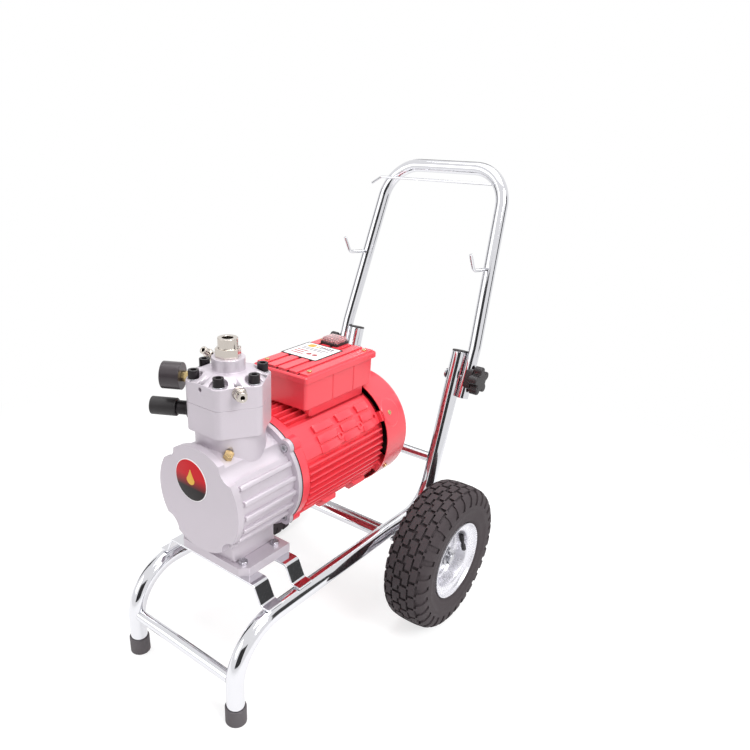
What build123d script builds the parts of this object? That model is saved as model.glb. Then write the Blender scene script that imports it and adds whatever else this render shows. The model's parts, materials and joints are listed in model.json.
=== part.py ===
from build123d import *
import math
import os

# Airless paint sprayer on a two-wheel trolley. Millimetres, +Z up.
# X runs across the trolley, the pump faces -Y and the handle stands at +Y.
# Shapes are drawn with Y = 0 at the wheel axle; save() then centres them front to back.

# Clearances
RUN_GAP = 0.05          # radial gap of a running fit
SEAT_GAP = 0.02         # radial gap of a pressed or screwed fit
SIDE_GAP = 0.3          # gap between pieces that turn beside each other

# Trolley frame: two bent side tubes joined by cross tubes
TUBE_RADIUS = 14.0
TUBE_WALL = 2.0
SIDE_X = 115.0
RAIL_Z = 152.0
FRONT_LEG_Y = -415.0
FRONT_BEND = 85.0
REAR_BEND = 70.0
UPRIGHT_TILT = 15.0
UPRIGHT_TOP_Y = 170.0
UPRIGHT_TOP_Z = 438.0
CROSS_RADIUS = 9.5
CROSS_WALL = 1.5
FRONT_CROSS_Z = 77.0
LOWER_CROSS_Y = -46.0
UPPER_CROSS_Z = 240.0
CAP_RADIUS = 16.5
CAP_HEIGHT = 30.0
CAP_FLOOR = 4.0
PLUG_HEAD = 3.0
PLUG_DEPTH = 14.0

# Mount straps that carry the pump
STRAP_THICKNESS = 4.0
STRAP_WIDTH = 30.0
STRAP_TOP_Z = 200.0
STRAP_TOP_X = 92.0
STRAP_FOOT_X = 106.0
STRAP_END_X = 122.0
STRAP_BEND = 7.0
STRAP_YS = (-335.0, -265.0)
FOOT_HOLE_X = 57.0

# Axle and wheels
AXLE_RADIUS = 8.0
WHEEL_RADIUS = 130.0
WHEEL_X = 207.0
TYRE_WIDTH = 78.0
TYRE_WALL = 8.0
RIM_RADIUS = 66.0
RIM_WIDTH = 64.0
RIM_SEAT_RADIUS = 51.0
RIM_SHEET = 2.5
HUB_RADIUS = 17.0
HUB_LENGTH = 70.0
HUB_OFFSET = -20.0       # hub centre from the tyre's centre plane, towards the frame
WHEEL_BEARING_RADIUS = 13.5
WHEEL_BEARING_LENGTH = 10.0
RIM_BOLT_CIRCLE = 34.0
RIM_BOLT_COUNT = 4
VALVE_ANGLE = 27.0
WASHER_RADIUS = 15.0
WASHER_THICKNESS = 2.5
PIN_RADIUS = 2.0
BRACKET_THICKNESS = 6.0
BRACKET_LENGTH = 40.0

# Folding handle
HANDLE_RADIUS = 11.0
HANDLE_WALL = 1.5
HANDLE_TILT = 17.0
HANDLE_LENGTH = 358.7
HANDLE_TAIL = 37.0
HANDLE_STRAIGHT = 55.0
HANDLE_TOP_X = 117.0
HANDLE_BEND = 65.0
PIVOT_Z = 396.5
HOOK_ALONG = 191.0
HOOK_RADIUS = 3.0
HOOK_REACH = 68.0
HOOK_RISE = 34.0
HANGER_ALONG = 331.0
HANGER_RADIUS = 2.3
HANGER_RIGHT_X = 100.0
HANGER_LEFT_X = -129.0
CLAMP_BOLT_RADIUS = 4.0
SADDLE_WIDTH = 25.0
SADDLE_LENGTH = 36.0
SADDLE_LIP = 2.2
KNOB_RADIUS = 26.0
KNOB_THICKNESS = 16.0
KNOB_LOBES = 5

# Pump casing, on the motor's axis
SHAFT_Z = 316.5
CASING_FRONT_Y = -368.7
FLANGE_FRONT_Y = -247.0
FLANGE_BACK_Y = -239.0
DISC_RADIUS = 84.0
DISC_THICKNESS = 12.0
BARREL_RADIUS = 80.0
FLANGE_RADIUS = 90.0
EAR_RADIUS = 13.0
EAR_CIRCLE = 84.0
EAR_ANGLES = (45, 135, 225, 315)
CHAMBER_RADIUS = 62.0
REGISTER_RADIUS = 70.0
CASING_WALL = 18.0
CASING_RIB_ANGLES = (-68, -52, -36, -20, -4, 12, 28)
CASING_RIB_HEIGHT = 3.0
CASING_RIB_WIDTH = 4.0
FOOT_HALF_WIDTH = 73.0
FOOT_THICKNESS = 15.0
FOOT_FRONT_Y = -350.0
FOOT_BACK_Y = -248.0
OIL_PLUG_ANGLE = 62.6
OIL_PLUG_Y = -340.0
OIL_PLUG_RADIUS = 5.0
OIL_PLUG_SEAT = 79.5
M8 = 4.0

# Pump head, on a vertical axis above the crank chamber
HEAD_Y = -298.0
HEAD_RADIUS = 64.0
HEAD_CORNER = 14.0
NECK_RADIUS = 52.0
BLOCK_BOTTOM_Z = 416.0
PARTING_Z = 458.0
COVER_EDGE_Z = 500.0
SCREW_SEAT_Z = 490.0
BOSS_RADIUS = 24.0
BOSS_TOP_Z = 518.0
HEAD_SCREW_CIRCLE = 50.0
HEAD_SCREW_RADIUS = 5.0
HEAD_SCREW_HEAD = 8.0
HEAD_SCREW_HEAD_HEIGHT = 12.0
POCKET_RADIUS = 12.5
DIAPHRAGM_RADIUS = 43.0
DIAPHRAGM_THICKNESS = 2.0
PISTON_RADIUS = 12.0
SLEEVE_RADIUS = 18.0
SLEEVE_BOTTOM_Z = 373.0
SLEEVE_TOP_Z = 440.0
GUIDE_Z = 474.0
GUIDE_THICKNESS = 6.0
STEM_RADIUS = 2.5
PISTON_FOOT = 3.0
SPRING_WIRE = 1.4
PORT_Z = 483.0
INLET_HEX = 33.0
INLET_HEX_TOP_Z = 531.0
INLET_TOP_Z = 545.0
INLET_COLLAR_RADIUS = 14.5
INLET_BORE_RADIUS = 8.0
INLET_STUB_RADIUS = 12.0
INLET_STUB_Z = 500.0
OUTLET_ANGLE = -30.0
OUTLET_TIP = 75.0
OUTLET_THREAD_RADIUS = 7.0
RETURN_ANGLE = 150.0
RETURN_Z = 487.0
RETURN_REACH = 82.0
RETURN_BEND = 8.0
RETURN_RISE = 40.0
RETURN_RUN = 32.0
GAUGE_ANGLE = 210.0
GAUGE_BACK = 69.0
GAUGE_FRONT = 98.0
GAUGE_RADIUS = 20.0
VALVE_Z = 434.0
KNOB_START = 79.3
KNOB_END = 119.5
VALVE_KNOB_RADIUS = 13.5
VALVE_STEM_RADIUS = 7.0

# Motor
MOTOR_FRONT_Y = -238.0
SHIELD_THICKNESS = 16.0
HOUSING_BACK_Y = -30.0
HOUSING_RADIUS = 83.0
HOUSING_BORE = 76.0
FIN_TIP_RADIUS = 93.0
FIN_WIDTH = 3.0
FIN_PITCH = 7.0
PAD_ANGLES = (41.5, 138.5)
PAD_HALF_ANGLE = 18.0
PAD_RADIUS = 91.0
FOOT_BOSS_ANGLES = (-46, 226)
FOOT_BOSS_RADIUS = 100.0
FOOT_BOSS_YS = (-149.0, -68.0)
FOOT_BOSS_LENGTH = 35.0
REAR_SHIELD_THICKNESS = 14.0
COVER_RADIUS = 100.5
COVER_SHEET = 1.6
COVER_FRONT_Y = -27.0
COVER_BACK_Y = 39.0
COVER_EDGE_BEND = 12.0
COVER_SCREW_ANGLES = (30, 150, 210, 330)
COVER_SCREW_Y = -10.2
SHAFT_RADIUS = 12.5
FAN_SHAFT_RADIUS = 9.0
SHAFT_FRONT_Y = -352.0
BEARING_RADIUS = 26.0
BEARING_LENGTH = 14.0
NOSE_BEARING_RADIUS = 23.5
STATOR_FRONT_Y = -185.0
STATOR_BACK_Y = -85.0
STATOR_BORE = 43.0
WINDING_LENGTH = 22.0
FAN_RADIUS = 86.0
FAN_BLADES = 8
ECCENTRICITY = 3.0
ECCENTRIC_RADIUS = 20.0
ECCENTRIC_RING_RADIUS = 31.0

# Terminal box on top of the motor
BOX_CENTRE_Y = -101.5
BOX_WIDTH = 101.0
BOX_LENGTH = 173.0
BOX_WALL = 3.5
BOX_BOTTOM_Z = 414.0
BOX_FLOOR = 8.0
BOX_TOP_Z = 459.0
BOX_NECK_WIDTH = 92.0
BOX_NECK_LENGTH = 141.0
LID_SCREW_INSET = 16.0
LID_WIDTH = 111.0
LID_LENGTH = 183.0
LID_EDGE_Z = 469.0
LID_TOP_Z = 472.0
LID_RIB_XS = (-44.0, -22.0, 0.0, 22.0, 44.0)
LID_RIB_WIDTH = 16.0
GROOVE_YS = (-121.0, -67.0)
SWITCH_X = -17.0
SWITCH_Y = -33.0
SWITCH_WIDTH = 36.0
SWITCH_LENGTH = 32.0
ROCKER_WIDTH = 20.0
ROCKER_LENGTH = 22.0
ROCKER_TILT = 9.0
ROCKER_PIN_RADIUS = 1.5
GLAND_Y = -60.0
GLAND_Z = 436.0
GLAND_RADIUS = 8.0

# Derived places
AXLE_Z = WHEEL_RADIUS
TILT_SLOPE = math.tan(math.radians(UPRIGHT_TILT))
PIVOT_Y = UPRIGHT_TOP_Y - (UPRIGHT_TOP_Z - PIVOT_Z) * TILT_SLOPE
LEG_X = SIDE_X + TUBE_RADIUS + HANDLE_RADIUS + SIDE_GAP
HANDLE_SIN = math.sin(math.radians(HANDLE_TILT))
HANDLE_COS = math.cos(math.radians(HANDLE_TILT))
HANDLE_BACK_Y = PIVOT_Y + HANDLE_LENGTH * HANDLE_SIN + HANDLE_RADIUS
CENTRE_Y = (FRONT_LEG_Y - CAP_RADIUS + HANDLE_BACK_Y) / 2
HEAD_FLAT = HEAD_RADIUS * math.cos(math.radians(30))
FOOT_TOP_Z = STRAP_TOP_Z + FOOT_THICKNESS
SADDLE_FACE_X = LEG_X + HANDLE_RADIUS + SADDLE_LIP
HUB_INNER_X = WHEEL_X + HUB_OFFSET - HUB_LENGTH / 2
HUB_OUTER_X = WHEEL_X + HUB_OFFSET + HUB_LENGTH / 2
INNER_PIN_X = HUB_INNER_X - SIDE_GAP - WASHER_THICKNESS - PIN_RADIUS
OUTER_PIN_X = HUB_OUTER_X + SIDE_GAP + WASHER_THICKNESS + PIN_RADIUS
AXLE_END_X = OUTER_PIN_X + 5
PISTON_BOTTOM_Z = SHAFT_Z + ECCENTRICITY + ECCENTRIC_RING_RADIUS + SIDE_GAP
HOUSING_FRONT_Y = MOTOR_FRONT_Y + SHIELD_THICKNESS
REAR_SHIELD_Y = HOUSING_BACK_Y + REAR_SHIELD_THICKNESS
NOSE_SEAT_Y = CASING_FRONT_Y + CASING_WALL
BOX_FLOOR_Z = BOX_BOTTOM_Z + BOX_FLOOR
ROCKER_PIVOT_Z = LID_TOP_Z - 1.5
BASE = (Align.CENTER, Align.CENTER, Align.MIN)


def save(name, *solids):
    """Write one node: its solids, moved so that the whole object is centred front to back."""
    group = Compound(children=[solid for shape in solids for solid in shape.solids()])
    export_step(group.moved(Location((0, -CENTRE_Y, 0))), f"parts/{name}.step")


def bar(start, end, radius):
    """A round bar from one point to another."""
    axis = Vector(*end) - Vector(*start)
    return Plane(origin=start, z_dir=axis) * Cylinder(radius, axis.length, align=BASE)


def pipe(start, end, radius, bore):
    """A round tube from one point to another."""
    return bar(start, end, radius) - bar(start, end, bore)


def bar_x(x0, x1, radius, y=0.0, z=AXLE_Z):
    return bar((x0, y, z), (x1, y, z), radius)


def bar_y(y0, y1, radius, x=0.0, z=SHAFT_Z):
    return bar((x, y0, z), (x, y1, z), radius)


def bar_z(z0, z1, radius, x=0.0, y=HEAD_Y):
    return bar((x, y, z0), (x, y, z1), radius)


def block(x0, x1, y0, y1, z0, z1):
    """A square block between two corners."""
    size = Box(x1 - x0, y1 - y0, z1 - z0)
    return Pos((x0 + x1) / 2, (y0 + y1) / 2, (z0 + z1) / 2) * size


def hex_bar(start, end, across_flats):
    """A six-sided bar from one point to another."""
    axis = Vector(*end) - Vector(*start)
    outline = RegularPolygon(across_flats / 2, 6, major_radius=False)
    return extrude(Plane(origin=start, z_dir=axis) * outline, amount=axis.length)


def slab(outline, y0, y1):
    """Extrude an outline drawn in X and Z about the motor's axis, from y0 back to y1."""
    plane = Plane(origin=(0, y1, SHAFT_Z), x_dir=(1, 0, 0), z_dir=(0, -1, 0))
    return extrude(plane * outline, amount=y1 - y0)


def bent(points, bends, section, across=None):
    """Sweep a section along straight runs joined by tangent arcs."""
    path = FilletPolyline(*points, radius=bends)
    start = Plane(origin=path @ 0, x_dir=across, z_dir=path % 0)
    return sweep(start * section, path=path)


def around(angle, radius):
    """A point of a circle, by its angle in degrees."""
    return radius * math.cos(math.radians(angle)), radius * math.sin(math.radians(angle))


def head_point(angle, out, z):
    """A point at a distance from the pump head's axis, in a compass direction."""
    x, y = around(angle, out)
    return x, HEAD_Y + y, z


def motor_point(angle, out, y):
    """A point at a distance from the motor's axis, by its angle above +X."""
    x, z = around(angle, out)
    return x, y, SHAFT_Z + z


def handle_point(x, along, forward=0.0):
    """A point of the handle's tilted plane, measured from the clamp bolts."""
    y = PIVOT_Y + along * HANDLE_SIN - forward * HANDLE_COS
    z = PIVOT_Z + along * HANDLE_COS + forward * HANDLE_SIN
    return x, y, z


def upright_y(z):
    return UPRIGHT_TOP_Y - (UPRIGHT_TOP_Z - z) * TILT_SLOPE


# Trolley frame

def side_tube(x, section):
    points = [
        (x, FRONT_LEG_Y, CAP_FLOOR),
        (x, FRONT_LEG_Y, RAIL_Z),
        (x, upright_y(RAIL_Z), RAIL_Z),
        (x, UPRIGHT_TOP_Y, UPRIGHT_TOP_Z),
    ]
    return bent(points, [FRONT_BEND, REAR_BEND], section, across=(1, 0, 0))


def clamp_hole(x):
    return bar_x(x - 30, x + 30, CLAMP_BOLT_RADIUS + RUN_GAP, PIVOT_Y, PIVOT_Z)


def frame_side(x):
    ring = Circle(TUBE_RADIUS) - Circle(TUBE_RADIUS - TUBE_WALL)
    return side_tube(x, ring) - clamp_hole(x)


def cross_tube(y, z, sides):
    ends = (-SIDE_X, y, z), (SIDE_X, y, z)
    return pipe(*ends, CROSS_RADIUS, CROSS_RADIUS - CROSS_WALL) - sides[0] - sides[1]


def axle_bracket(x, side):
    """A plate welded under the rail, with the axle through it."""
    half = BRACKET_THICKNESS / 2
    lobe = bar_x(x - half, x + half, AXLE_RADIUS + 7)
    web = block(x - half, x + half, -BRACKET_LENGTH / 2, BRACKET_LENGTH / 2, AXLE_Z, RAIL_Z)
    plate = lobe + web - side
    return plate - bar_x(x - 20, x + 20, AXLE_RADIUS + SEAT_GAP)


def mount_strap(y):
    """A flat bar bent over the rails, with its top level for the pump's foot."""
    half = STRAP_THICKNESS / 2
    foot_z = RAIL_Z + TUBE_RADIUS + half
    profile = [
        (-STRAP_END_X, y, foot_z),
        (-STRAP_FOOT_X, y, foot_z),
        (-STRAP_TOP_X, y, STRAP_TOP_Z - half),
        (STRAP_TOP_X, y, STRAP_TOP_Z - half),
        (STRAP_FOOT_X, y, foot_z),
        (STRAP_END_X, y, foot_z),
    ]
    strap = bent(profile, STRAP_BEND, Rectangle(STRAP_WIDTH, STRAP_THICKNESS), across=(0, 1, 0))
    for x in (-FOOT_HOLE_X, FOOT_HOLE_X):
        strap -= bar_z(STRAP_TOP_Z - 20, STRAP_TOP_Z + 5, M8 + 0.5, x, y)
    return strap


def foot_cap(x):
    cap = bar_z(0, CAP_HEIGHT, CAP_RADIUS, x, FRONT_LEG_Y)
    cap = fillet(cap.edges().filter_by(GeomType.CIRCLE), 1.5)
    return cap - bar_z(CAP_FLOOR, CAP_HEIGHT + 5, TUBE_RADIUS + SEAT_GAP, x, FRONT_LEG_Y)


def upright_plug(x):
    top = Plane(origin=(x, UPRIGHT_TOP_Y, UPRIGHT_TOP_Z), z_dir=(0, TILT_SLOPE, 1))
    head = fillet(Cylinder(TUBE_RADIUS, PLUG_HEAD, align=BASE).edges().group_by(Axis.Z)[-1], 1.5)
    spigot = Cylinder(TUBE_RADIUS - TUBE_WALL - SEAT_GAP, PLUG_DEPTH + 0.5, align=BASE)
    return top * (head + Pos(0, 0, -PLUG_DEPTH) * spigot)


def make_frame():
    outers = [side_tube(x, Circle(TUBE_RADIUS)) for x in (-SIDE_X, SIDE_X)]
    save("frame_left", frame_side(-SIDE_X))
    save("frame_right", frame_side(SIDE_X))
    save(
        "frame_cross_members",
        cross_tube(FRONT_LEG_Y, FRONT_CROSS_Z, outers),
        cross_tube(LOWER_CROSS_Y, RAIL_Z, outers),
        cross_tube(upright_y(UPPER_CROSS_Z), UPPER_CROSS_Z, outers),
        axle_bracket(-SIDE_X, outers[0]),
        axle_bracket(SIDE_X, outers[1]),
    )
    save("mount_straps", *[mount_strap(y) for y in STRAP_YS])
    save("tube_end_caps", *[make(x) for make in (foot_cap, upright_plug) for x in (-SIDE_X, SIDE_X)])


# Axle and wheels

def pin_shape(x):
    return bar((x, 0, AXLE_Z - AXLE_RADIUS - 6), (x, 0, AXLE_Z + AXLE_RADIUS + 3), PIN_RADIUS)


def make_axle():
    pins_x = [side * x for side in (-1, 1) for x in (INNER_PIN_X, OUTER_PIN_X)]
    axle = bar_x(-AXLE_END_X, AXLE_END_X, AXLE_RADIUS)
    axle = chamfer(axle.edges().filter_by(GeomType.CIRCLE), 1)
    save("axle", axle - [bar_z(AXLE_Z - 20, AXLE_Z + 20, PIN_RADIUS + SEAT_GAP, x, 0) for x in pins_x])
    washers = []
    for side in (-1, 1):
        for face in (HUB_INNER_X - SIDE_GAP - WASHER_THICKNESS, HUB_OUTER_X + SIDE_GAP):
            ends = (side * face, 0, AXLE_Z), (side * (face + WASHER_THICKNESS), 0, AXLE_Z)
            washers.append(pipe(*ends, WASHER_RADIUS, AXLE_RADIUS + RUN_GAP))
    save("axle_fasteners", *washers, *[pin_shape(x) for x in pins_x])


def wheel_ring(profile):
    """Turn a half profile, given as (x, radius) points, about the axle."""
    outline = make_face(Polyline(*[(x, 0, AXLE_Z + r) for x, r in profile], close=True))
    return revolve(outline, axis=Axis((0, 0, AXLE_Z), (1, 0, 0)))


def tyre_ring():
    half = TYRE_WIDTH / 2
    bead = RIM_WIDTH / 2 - RIM_SHEET - SEAT_GAP
    seat = RIM_SEAT_RADIUS + SEAT_GAP
    lip = RIM_RADIUS + 1
    right = [
        (bead, seat),
        (bead, lip),
        (half - 3, lip + 8),
        (half, RIM_RADIUS + 27),
        (half - 2, WHEEL_RADIUS - 18),
        (half - 8, WHEEL_RADIUS - 5),
        (half - 18, WHEEL_RADIUS),
    ]
    inside = [
        (half - 18, WHEEL_RADIUS - TYRE_WALL),
        (half - 9, WHEEL_RADIUS - 20),
        (half - TYRE_WALL, RIM_RADIUS + 27),
        (bead - TYRE_WALL, lip),
        (bead - TYRE_WALL, seat),
    ]
    left = [(-x, r) for x, r in reversed(right)]
    inner_left = [(-x, r) for x, r in reversed(inside)]
    return wheel_ring(right + left) - wheel_ring(inside + inner_left)


def valve_path():
    """From inside the tyre, through the rim and out into its dish."""
    turn = math.radians(VALVE_ANGLE)
    points = []
    for x, r in ((8, RIM_SEAT_RADIUS + 12), (RIM_WIDTH / 2 + 1, 30)):
        points.append((x, r * math.cos(turn), AXLE_Z + r * math.sin(turn)))
    return points


def rim_half():
    edge = RIM_WIDTH / 2
    seat = RIM_SEAT_RADIUS
    return wheel_ring([
        (0, HUB_RADIUS + SEAT_GAP),
        (0, seat - 2),
        (edge - RIM_SHEET, seat),
        (edge - RIM_SHEET, RIM_RADIUS),
        (edge, RIM_RADIUS),
        (edge, seat - RIM_SHEET),
        (RIM_SHEET, seat - 2 - RIM_SHEET),
        (RIM_SHEET, HUB_RADIUS + SEAT_GAP),
    ])


def rim_bolt_points():
    for index in range(RIM_BOLT_COUNT):
        y, z = around(45 + index * 360 / RIM_BOLT_COUNT, RIM_BOLT_CIRCLE)
        yield y, AXLE_Z + z


def rim_bolt(y, z):
    shank = bar_x(-RIM_SHEET - 5, RIM_SHEET, 3, y, z)
    head = hex_bar((RIM_SHEET, y, z), (RIM_SHEET + 4, y, z), 10)
    nut = hex_bar((-RIM_SHEET - 5, y, z), (-RIM_SHEET, y, z), 10) - bar_x(-20, 0, 3 + SEAT_GAP, y, z)
    return [shank + head, nut]


def hub():
    """The hub tube with a ball bearing pressed into each end."""
    start = HUB_OFFSET - HUB_LENGTH / 2
    end = HUB_OFFSET + HUB_LENGTH / 2
    tube = bar_x(start, end, HUB_RADIUS) - bar_x(start, end, AXLE_RADIUS + 2)
    pieces = []
    for x0 in (start, end - WHEEL_BEARING_LENGTH):
        x1 = x0 + WHEEL_BEARING_LENGTH
        tube -= bar_x(x0, x1, WHEEL_BEARING_RADIUS + SEAT_GAP)
        pieces.append(pipe((x0, 0, AXLE_Z), (x1, 0, AXLE_Z), WHEEL_BEARING_RADIUS, AXLE_RADIUS + RUN_GAP))
    return [tube, *pieces]


def make_wheels():
    valve = bar(*valve_path(), 4)
    rim = rim_half() - [bar_x(-20, 20, 3 + SEAT_GAP, y, z) for y, z in rim_bolt_points()]
    outer_rim = rim - bar(*valve_path(), 4 + SEAT_GAP)
    inner_rim = mirror(rim, about=Plane.YZ)
    bolts = [piece for y, z in rim_bolt_points() for piece in rim_bolt(y, z)]
    pieces = {"tyre": [tyre_ring(), valve], "rim": [outer_rim, inner_rim], "hub": hub(), "rim_bolts": bolts}
    for name, solids in pieces.items():
        right = [Pos(WHEEL_X, 0, 0) * solid for solid in solids]
        save(f"{name}_right", *right)
        save(f"{name}_left", *[mirror(solid, about=Plane.YZ) for solid in right])


# Handle

def handle_tube():
    points = [
        handle_point(LEG_X, -HANDLE_TAIL),
        handle_point(LEG_X, HANDLE_STRAIGHT),
        handle_point(HANDLE_TOP_X, HANDLE_LENGTH),
        handle_point(-HANDLE_TOP_X, HANDLE_LENGTH),
        handle_point(-LEG_X, HANDLE_STRAIGHT),
        handle_point(-LEG_X, -HANDLE_TAIL),
    ]
    ring = Circle(HANDLE_RADIUS) - Circle(HANDLE_RADIUS - HANDLE_WALL)
    bends = [150, HANDLE_BEND, HANDLE_BEND, 150]
    tube = bent(points, bends, ring, across=(1, 0, 0))
    return tube - clamp_hole(LEG_X) - clamp_hole(-LEG_X)


def leg_x(along):
    """The handle leg's centre, which leans in above its straight foot."""
    share = (along - HANDLE_STRAIGHT) / (HANDLE_LENGTH - HANDLE_STRAIGHT)
    return LEG_X + share * (HANDLE_TOP_X - LEG_X)


def hose_hook(side):
    """A wire hook welded to the front of a handle leg, with its tip turned up."""
    x, y, z = handle_point(side * leg_x(HOOK_ALONG), HOOK_ALONG, HANDLE_RADIUS - 1)
    points = [
        (x, y, z),
        (x, y - HOOK_REACH * 0.75, z + HOOK_RISE * 0.15),
        (x, y - HOOK_REACH, z + HOOK_RISE),
    ]
    leg = [handle_point(side * leg_x(along), along) for along in (HOOK_ALONG - 30, HOOK_ALONG + 30)]
    return bent(points, 14, Circle(HOOK_RADIUS)) - bar(*leg, HANDLE_RADIUS + SEAT_GAP)


def hanger_rod():
    """A thin rod welded across the front of the handle's top corners, with one end turned down."""
    forward = HANDLE_RADIUS + HANGER_RADIUS + SEAT_GAP
    points = [
        handle_point(HANGER_RIGHT_X, HANGER_ALONG, forward),
        handle_point(HANGER_LEFT_X, HANGER_ALONG, forward),
        handle_point(HANGER_LEFT_X - 14, HANGER_ALONG - 14, forward + 6),
    ]
    return bent(points, 8, Circle(HANGER_RADIUS))


def clamp_bolt(side):
    """A carriage bolt through the upright and the handle leg, into the knob."""
    head_x = SIDE_X - TUBE_RADIUS
    tip_x = SADDLE_FACE_X + SIDE_GAP + KNOB_THICKNESS - 4
    shank = bar_x(side * head_x, side * tip_x, CLAMP_BOLT_RADIUS, PIVOT_Y, PIVOT_Z)
    head = bar_x(side * (head_x - 3), side * head_x, 9, PIVOT_Y, PIVOT_Z)
    return shank + head


def clamp_saddle(side):
    """A plastic saddle that beds the knob on the round handle leg."""
    depth = SADDLE_FACE_X - LEG_X
    body = Box(depth, SADDLE_WIDTH, SADDLE_LENGTH, align=(Align.MIN, Align.CENTER, Align.CENTER))
    body = fillet(body.edges().filter_by(Axis.X), 6)
    place = Pos(LEG_X, PIVOT_Y, PIVOT_Z) * Rot(X=-HANDLE_TILT)
    leg = bar(handle_point(LEG_X, -60), handle_point(LEG_X, 60), HANDLE_RADIUS + SEAT_GAP)
    saddle = place * body - leg - clamp_hole(LEG_X)
    return saddle if side > 0 else mirror(saddle, about=Plane.YZ)


def clamp_knob(side):
    """A star knob with round lobes and a blind hole for its bolt."""
    start = SADDLE_FACE_X + SIDE_GAP
    lobe_radius = 7.5
    centre = KNOB_RADIUS - lobe_radius
    outline = Circle(centre - 2)
    for index in range(KNOB_LOBES):
        angle = 90 + index * 360 / KNOB_LOBES
        lobe = Pos(*around(angle, centre)) * Circle(lobe_radius)
        arm = Rot(Z=angle) * Pos(centre / 2, 0) * Rectangle(centre, lobe_radius * 2)
        outline = outline + lobe + arm
    plane = Plane(origin=(start, PIVOT_Y, PIVOT_Z), x_dir=(0, 1, 0), z_dir=(1, 0, 0))
    knob = extrude(plane * outline, amount=KNOB_THICKNESS)
    blind = bar_x(start - 5, start + KNOB_THICKNESS - 3, CLAMP_BOLT_RADIUS + RUN_GAP, PIVOT_Y, PIVOT_Z)
    knob -= blind
    return knob if side > 0 else mirror(knob, about=Plane.YZ)


def make_handle():
    save("handle_tube", handle_tube())
    save("hose_hooks", hose_hook(-1), hose_hook(1), hanger_rod())
    save("clamp_bolts", clamp_bolt(-1), clamp_bolt(1))
    save("clamp_saddles", clamp_saddle(-1), clamp_saddle(1))
    save("clamp_knob_left", clamp_knob(-1))
    save("clamp_knob_right", clamp_knob(1))


# Pump casing

def ear_outline(radius):
    """A round flange with four ears for the screws that join pump and motor."""
    outline = Circle(radius)
    for angle in EAR_ANGLES:
        outline += Pos(*around(angle, EAR_CIRCLE)) * Circle(EAR_RADIUS)
    return outline


def ear_holes(y0, y1, radius):
    return [bar(motor_point(a, EAR_CIRCLE, y0), motor_point(a, EAR_CIRCLE, y1), radius) for a in EAR_ANGLES]


def barrel_outline():
    """The barrel's section, with cast ribs along both sides."""
    outline = Circle(BARREL_RADIUS)
    reach = BARREL_RADIUS + CASING_RIB_HEIGHT
    for angle in CASING_RIB_ANGLES:
        for turn in (angle, 180 - angle):
            outline += Rot(Z=turn) * Pos(reach / 2, 0) * Rectangle(reach, CASING_RIB_WIDTH)
    return outline


def head_hexagon(radius, corner):
    points = [around(angle, radius) for angle in range(0, 360, 60)]
    outline = make_face(Polyline(*points, close=True))
    return fillet(outline.vertices(), corner)


def head_prism(z0, z1, radius=HEAD_RADIUS):
    return extrude(Pos(0, HEAD_Y, z0) * head_hexagon(radius, HEAD_CORNER), amount=z1 - z0)


def head_screw_points():
    for angle in range(0, 360, 60):
        x, y = around(angle, HEAD_SCREW_CIRCLE)
        yield x, HEAD_Y + y


def casing_body():
    body = slab(barrel_outline(), CASING_FRONT_Y + 1, FLANGE_BACK_Y)
    body += slab(Circle(DISC_RADIUS), CASING_FRONT_Y, CASING_FRONT_Y + DISC_THICKNESS)
    for angle in EAR_ANGLES:
        groove = motor_point(angle, EAR_CIRCLE + 15, CASING_FRONT_Y - 1)
        body -= bar(groove, motor_point(angle, EAR_CIRCLE + 15, FLANGE_FRONT_Y), 23)
    body += slab(ear_outline(FLANGE_RADIUS), FLANGE_FRONT_Y, FLANGE_BACK_Y)
    body += bar_z(SHAFT_Z + BARREL_RADIUS / 2, BLOCK_BOTTOM_Z + 1, NECK_RADIUS)
    return body + head_prism(BLOCK_BOTTOM_Z, PARTING_Z)


def casing_foot():
    """The foot plate with chamfered front corners, and the web up to the barrel."""
    half = FOOT_HALF_WIDTH
    plate = block(-half, half, FOOT_FRONT_Y, FOOT_BACK_Y, STRAP_TOP_Z, FOOT_TOP_Z)
    plate = chamfer(plate.edges().filter_by(Axis.Z).group_by(Axis.Y)[0], 12)
    web_top = SHAFT_Z - CHAMBER_RADIUS / 2
    return plate + block(-42, 42, FOOT_FRONT_Y + 6, FOOT_BACK_Y - 4, FOOT_TOP_Z - 1, web_top)


def casing_cavity():
    """Crank chamber, nose bearing seat, piston bore and oil space under the diaphragm."""
    inner_front = CASING_FRONT_Y + CASING_WALL
    space = bar_y(inner_front, FLANGE_BACK_Y + 1, CHAMBER_RADIUS)
    space -= bar_y(inner_front, inner_front + BEARING_LENGTH, NOSE_BEARING_RADIUS + 7)
    space += bar_y(inner_front, inner_front + BEARING_LENGTH, NOSE_BEARING_RADIUS + SEAT_GAP)
    space += bar_y(FLANGE_FRONT_Y, FLANGE_BACK_Y + 1, REGISTER_RADIUS)
    space += bar_z(SHAFT_Z + 40, SLEEVE_TOP_Z - 4, SLEEVE_RADIUS + SEAT_GAP)
    space += bar_z(SLEEVE_TOP_Z - 4, SLEEVE_TOP_Z, SLEEVE_RADIUS + 4 + SEAT_GAP)
    space += bar_z(SLEEVE_TOP_Z, PARTING_Z, DIAPHRAGM_RADIUS - 7)
    return space + bar_z(PARTING_Z - DIAPHRAGM_THICKNESS, PARTING_Z + 1, DIAPHRAGM_RADIUS + SEAT_GAP)


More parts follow.
